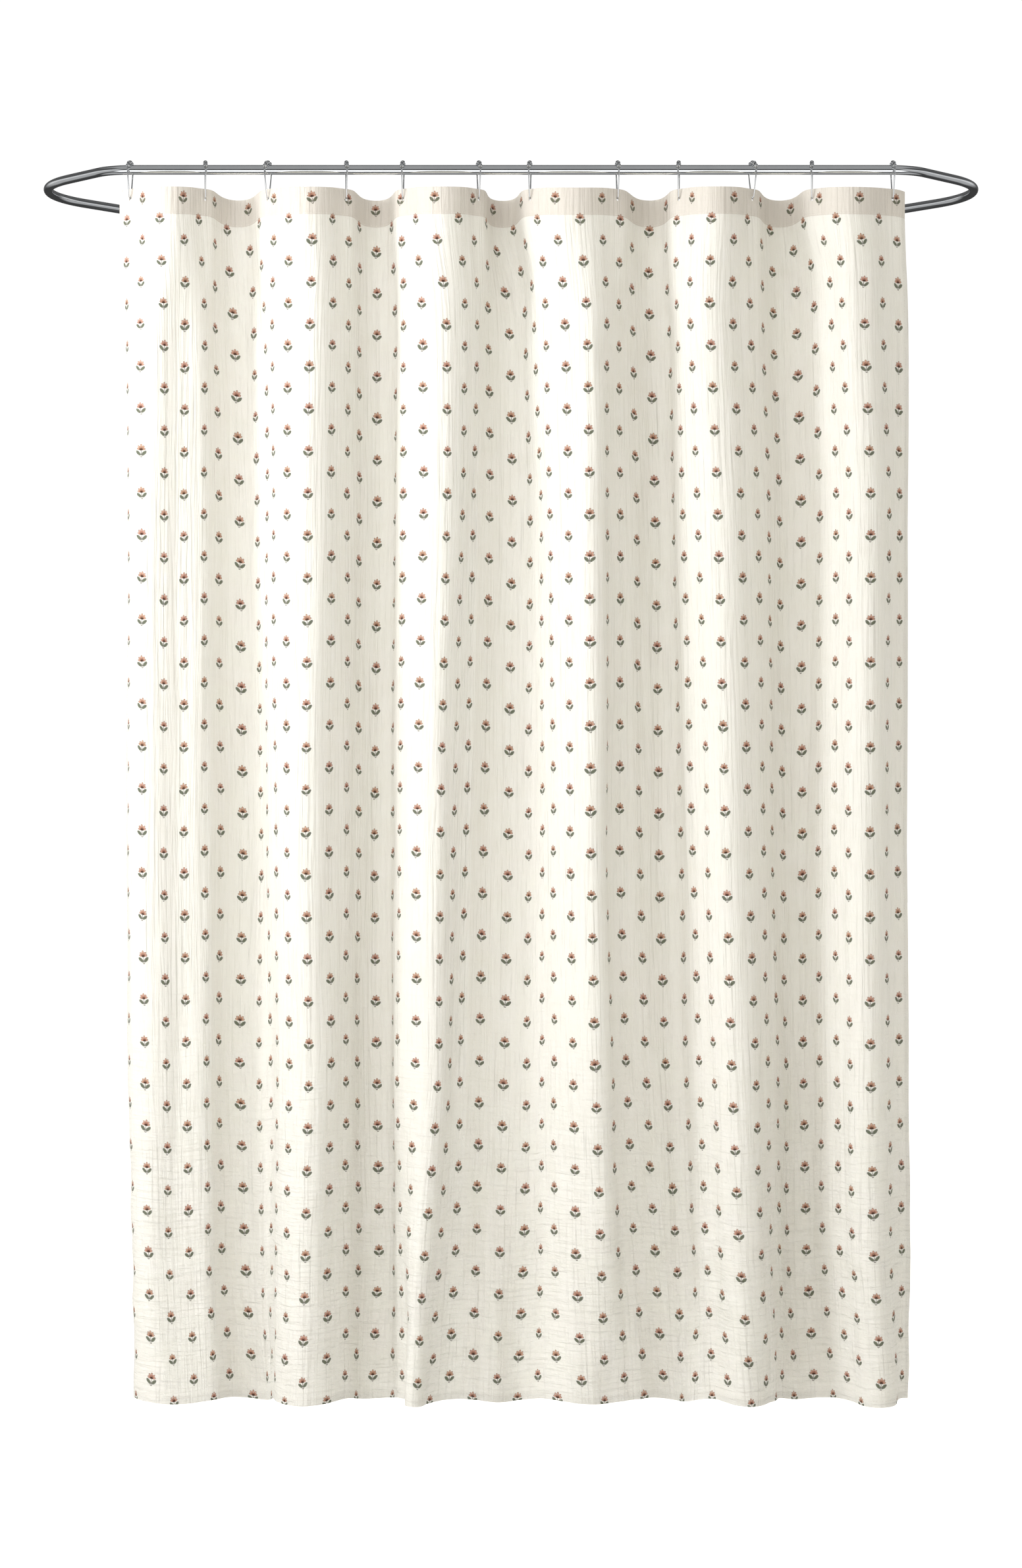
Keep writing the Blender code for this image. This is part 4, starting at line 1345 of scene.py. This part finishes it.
    def build(self) -> None:
        """Hangs the panel, then sews on its facing, hems, stitches and buttonholes."""
        us, vs = self.column_places(), self.row_places()
        cloth, tidy, thread = self.wardrobe.muslin, self.wardrobe.hem, self.wardrobe.thread
        panel = self.skin("muslin_panel", us, vs, 0.0, self.thickness, True)
        self.hang(panel, cloth, "curtain_panel")
        head = vs[vs <= self.drape.header]
        self.hang(self.skin("header_backing", us, head, self.facing_behind, self.facing_thickness,
                            True), tidy, "header_facing")
        hem_top = self.drape.height - self.bottom_hem
        self.hang(self.skin("bottom_hem_fold", us, vs[vs > hem_top - 0.0001], self.facing_behind,
                            self.facing_thickness, False), tidy, "bottom_hem")
        between = vs[(vs > self.drape.header + 0.001) & (vs < hem_top - 0.001)]
        between = np.concatenate([[self.drape.header + 0.0005], between, [hem_top - 0.0005]])
        for side, low in (("left", 0.0), ("right", self.drape.width - self.side_hem)):
            strip = np.linspace(low, low + self.side_hem, 4)
            self.hang(self.skin(f"side_hem_fold_{side}", strip, between, self.facing_behind,
                                self.facing_thickness, False), tidy,
                      f"side_hem_{side}")
        self.hang(self.stitching(), thread, None)
        for number in range(1, len(HOOK_X) + 1):
            rim = self.buttonhole(number)
            fit(rim, thread, f"buttonhole_{number:02d}", hook_body(number))
            self.pieces.append(rim)


# --------------------------------------------------------------------- studio


@dataclass
class Studio:
    """A white studio: floor, soft light, and a camera a few steps in front of the curtain."""

    camera_at: tuple[float, float, float] = (0.0, -6.524, -0.9282)
    lens_mm: float = 91.15
    floor_z: float = -2.02
    ambient: float = 0.87
    # The surroundings are this share brighter at the left and duller at the right.
    lean: float = 0.06
    key_power: float = 17.0
    high_fill_power: float = 13.0
    low_fill_power: float = 6.0

    def camera(self) -> None:
        """Sets the camera level, facing the curtain."""
        data = bpy.data.cameras.new("camera")
        data.lens = self.lens_mm
        data.sensor_width = 36.0
        data.clip_start = 0.05
        made = bpy.data.objects.new("camera", data)
        made.location = self.camera_at
        made.rotation_euler = (math.pi / 2, 0, 0)
        bpy.context.scene.collection.objects.link(made)
        bpy.context.scene.camera = made

    def area_light(self, name: str, at: Vector, towards: Vector, size: float, power: float,
                   colour: str) -> None:
        """A square soft light at a place, aimed at another."""
        data = bpy.data.lights.new(name, "AREA")
        data.shape = "SQUARE"
        data.size = size
        data.energy = power
        data.color = linear(colour)[:3]
        made = bpy.data.objects.new(name, data)
        made.location = at
        made.rotation_euler = (towards - at).to_track_quat("-Z", "Y").to_euler()
        made.visible_glossy = False
        bpy.context.scene.collection.objects.link(made)

    def fill_ramp(self, ramp: bpy.types.ColorRamp, stops: list[tuple[float, float]]) -> None:
        """Sets a ramp's greys at shares of its length. A new ramp has two stops already."""
        for number, (at, grey) in enumerate(stops):
            stop = ramp.elements[number] if number < 2 else ramp.elements.new(at)
            stop.position = at
            stop.color = (grey, grey, grey, 1)

    def surround(self) -> None:
        """White surroundings, with dark bars that only mirrors see, as in a product studio."""
        scene = bpy.context.scene
        world = bpy.data.worlds.new("white_studio")
        scene.world = world
        world.use_nodes = True
        tree = world.node_tree
        tree.nodes.clear()
        way = add_node(tree, "ShaderNodeTexCoord")
        apart = add_node(tree, "ShaderNodeSeparateXYZ", None, {0: way.outputs["Generated"]})
        forwards = maths(tree, "MULTIPLY", apart.outputs["Y"], -1.0)
        slope = maths(tree, "ARCTAN2", apart.outputs["Z"], forwards)
        height = remapped(tree, slope, span=(-math.pi, math.pi))
        bands = add_node(tree, "ShaderNodeValToRGB", None, {"Fac": height})
        # Degrees above the level, seen from the curtain towards the room, and the grey there.
        stops = ((-180, 0.05), (-124, 0.06), (-114, 0.48), (-77, 0.50), (-74, 0.02), (-58, 0.02),
                 (-55, 1.6), (-19, 1.6), (-16, 0.03), (0, 0.03), (3, 0.34), (70, 0.42),
                 (98, 0.32), (110, 0.14), (180, 0.10))
        self.fill_ramp(bands.color_ramp, [(degrees / 360 + 0.5, grey) for degrees, grey in stops])
        sideways = maths(tree, "ABSOLUTE", apart.outputs["X"])
        aside = remapped(tree, sideways, span=(0.45, 0.75), smooth=True)
        tall = remapped(tree, apart.outputs["Z"], span=(-1.0, 1.0))
        walls = add_node(tree, "ShaderNodeValToRGB", None, {"Fac": tall})
        # Heights of the sideways walls, from straight down to straight up, and the grey there.
        heights = ((-1.0, 0.35), (-0.72, 0.42), (-0.66, 0.05), (-0.5, 0.10), (-0.42, 0.50),
                   (-0.05, 0.50), (0.02, 0.80), (0.20, 0.80), (0.27, 0.10), (0.62, 0.10),
                   (0.72, 0.24), (1.0, 0.30))
        self.fill_ramp(walls.color_ramp, [(level / 2 + 0.5, grey) for level, grey in heights])
        mirrored = mixed_colour(tree, aside, bands.outputs["Color"], walls.outputs["Color"])
        side = remapped(tree, apart.outputs["X"], span=(-1.0, 1.0),
                        to=((1 + self.lean) * self.ambient, (1 - self.lean) * self.ambient))
        path = add_node(tree, "ShaderNodeLightPath")
        warmed = mixed_colour(tree, 1.0, side, linear("#FFFCF4"), blend="MULTIPLY")
        seen = mixed_colour(tree, path.outputs["Is Camera Ray"], warmed, (1.05, 1.05, 1.05, 1.0))
        chosen = mixed_colour(tree, path.outputs["Is Glossy Ray"], seen, mirrored)
        light = add_node(tree, "ShaderNodeBackground", None,
                         {"Color": chosen, "Strength": 1.0})
        add_node(tree, "ShaderNodeOutputWorld", None, {"Surface": light.outputs[0]})
        scene.view_settings.view_transform = "Standard"

    def floor(self) -> None:
        """A plain pale floor."""
        deselect()
        bpy.ops.mesh.primitive_plane_add(size=60, location=(0, 0, self.floor_z))
        plane = bpy.context.object
        plane.name = "studio_floor"
        settle(plane)
        plane.data.materials.append(StudioFloor().build())
        plane.visible_glossy = False
        plane.visible_diffuse = False

    def build(self) -> None:
        """Sets the whole studio up."""
        self.camera()
        self.surround()
        self.floor()
        middle = Vector((0, FRONT_BAR_Y, -0.95))
        for name, at, size, power in (("key", (-1.8, -1.4, 0.1), 0.5, self.key_power),
                                      ("high_fill", (-1.0, -1.7, 0.5), 1.4, self.high_fill_power),
                                      ("low_fill", (-1.0, -1.7, -1.7), 1.4, self.low_fill_power)):
            self.area_light(name, Vector(at), middle, size, power, "#FDFEFF")


def main() -> None:
    """Builds the studio and the object."""
    Studio().build()
    wardrobe = sew_wardrobe()
    RingRod(wardrobe).build()
    WallBrackets(wardrobe).build()
    RollerHooks(wardrobe).build()
    Curtain(wardrobe).build()
    deselect()


if __name__ == "__main__":
    main()
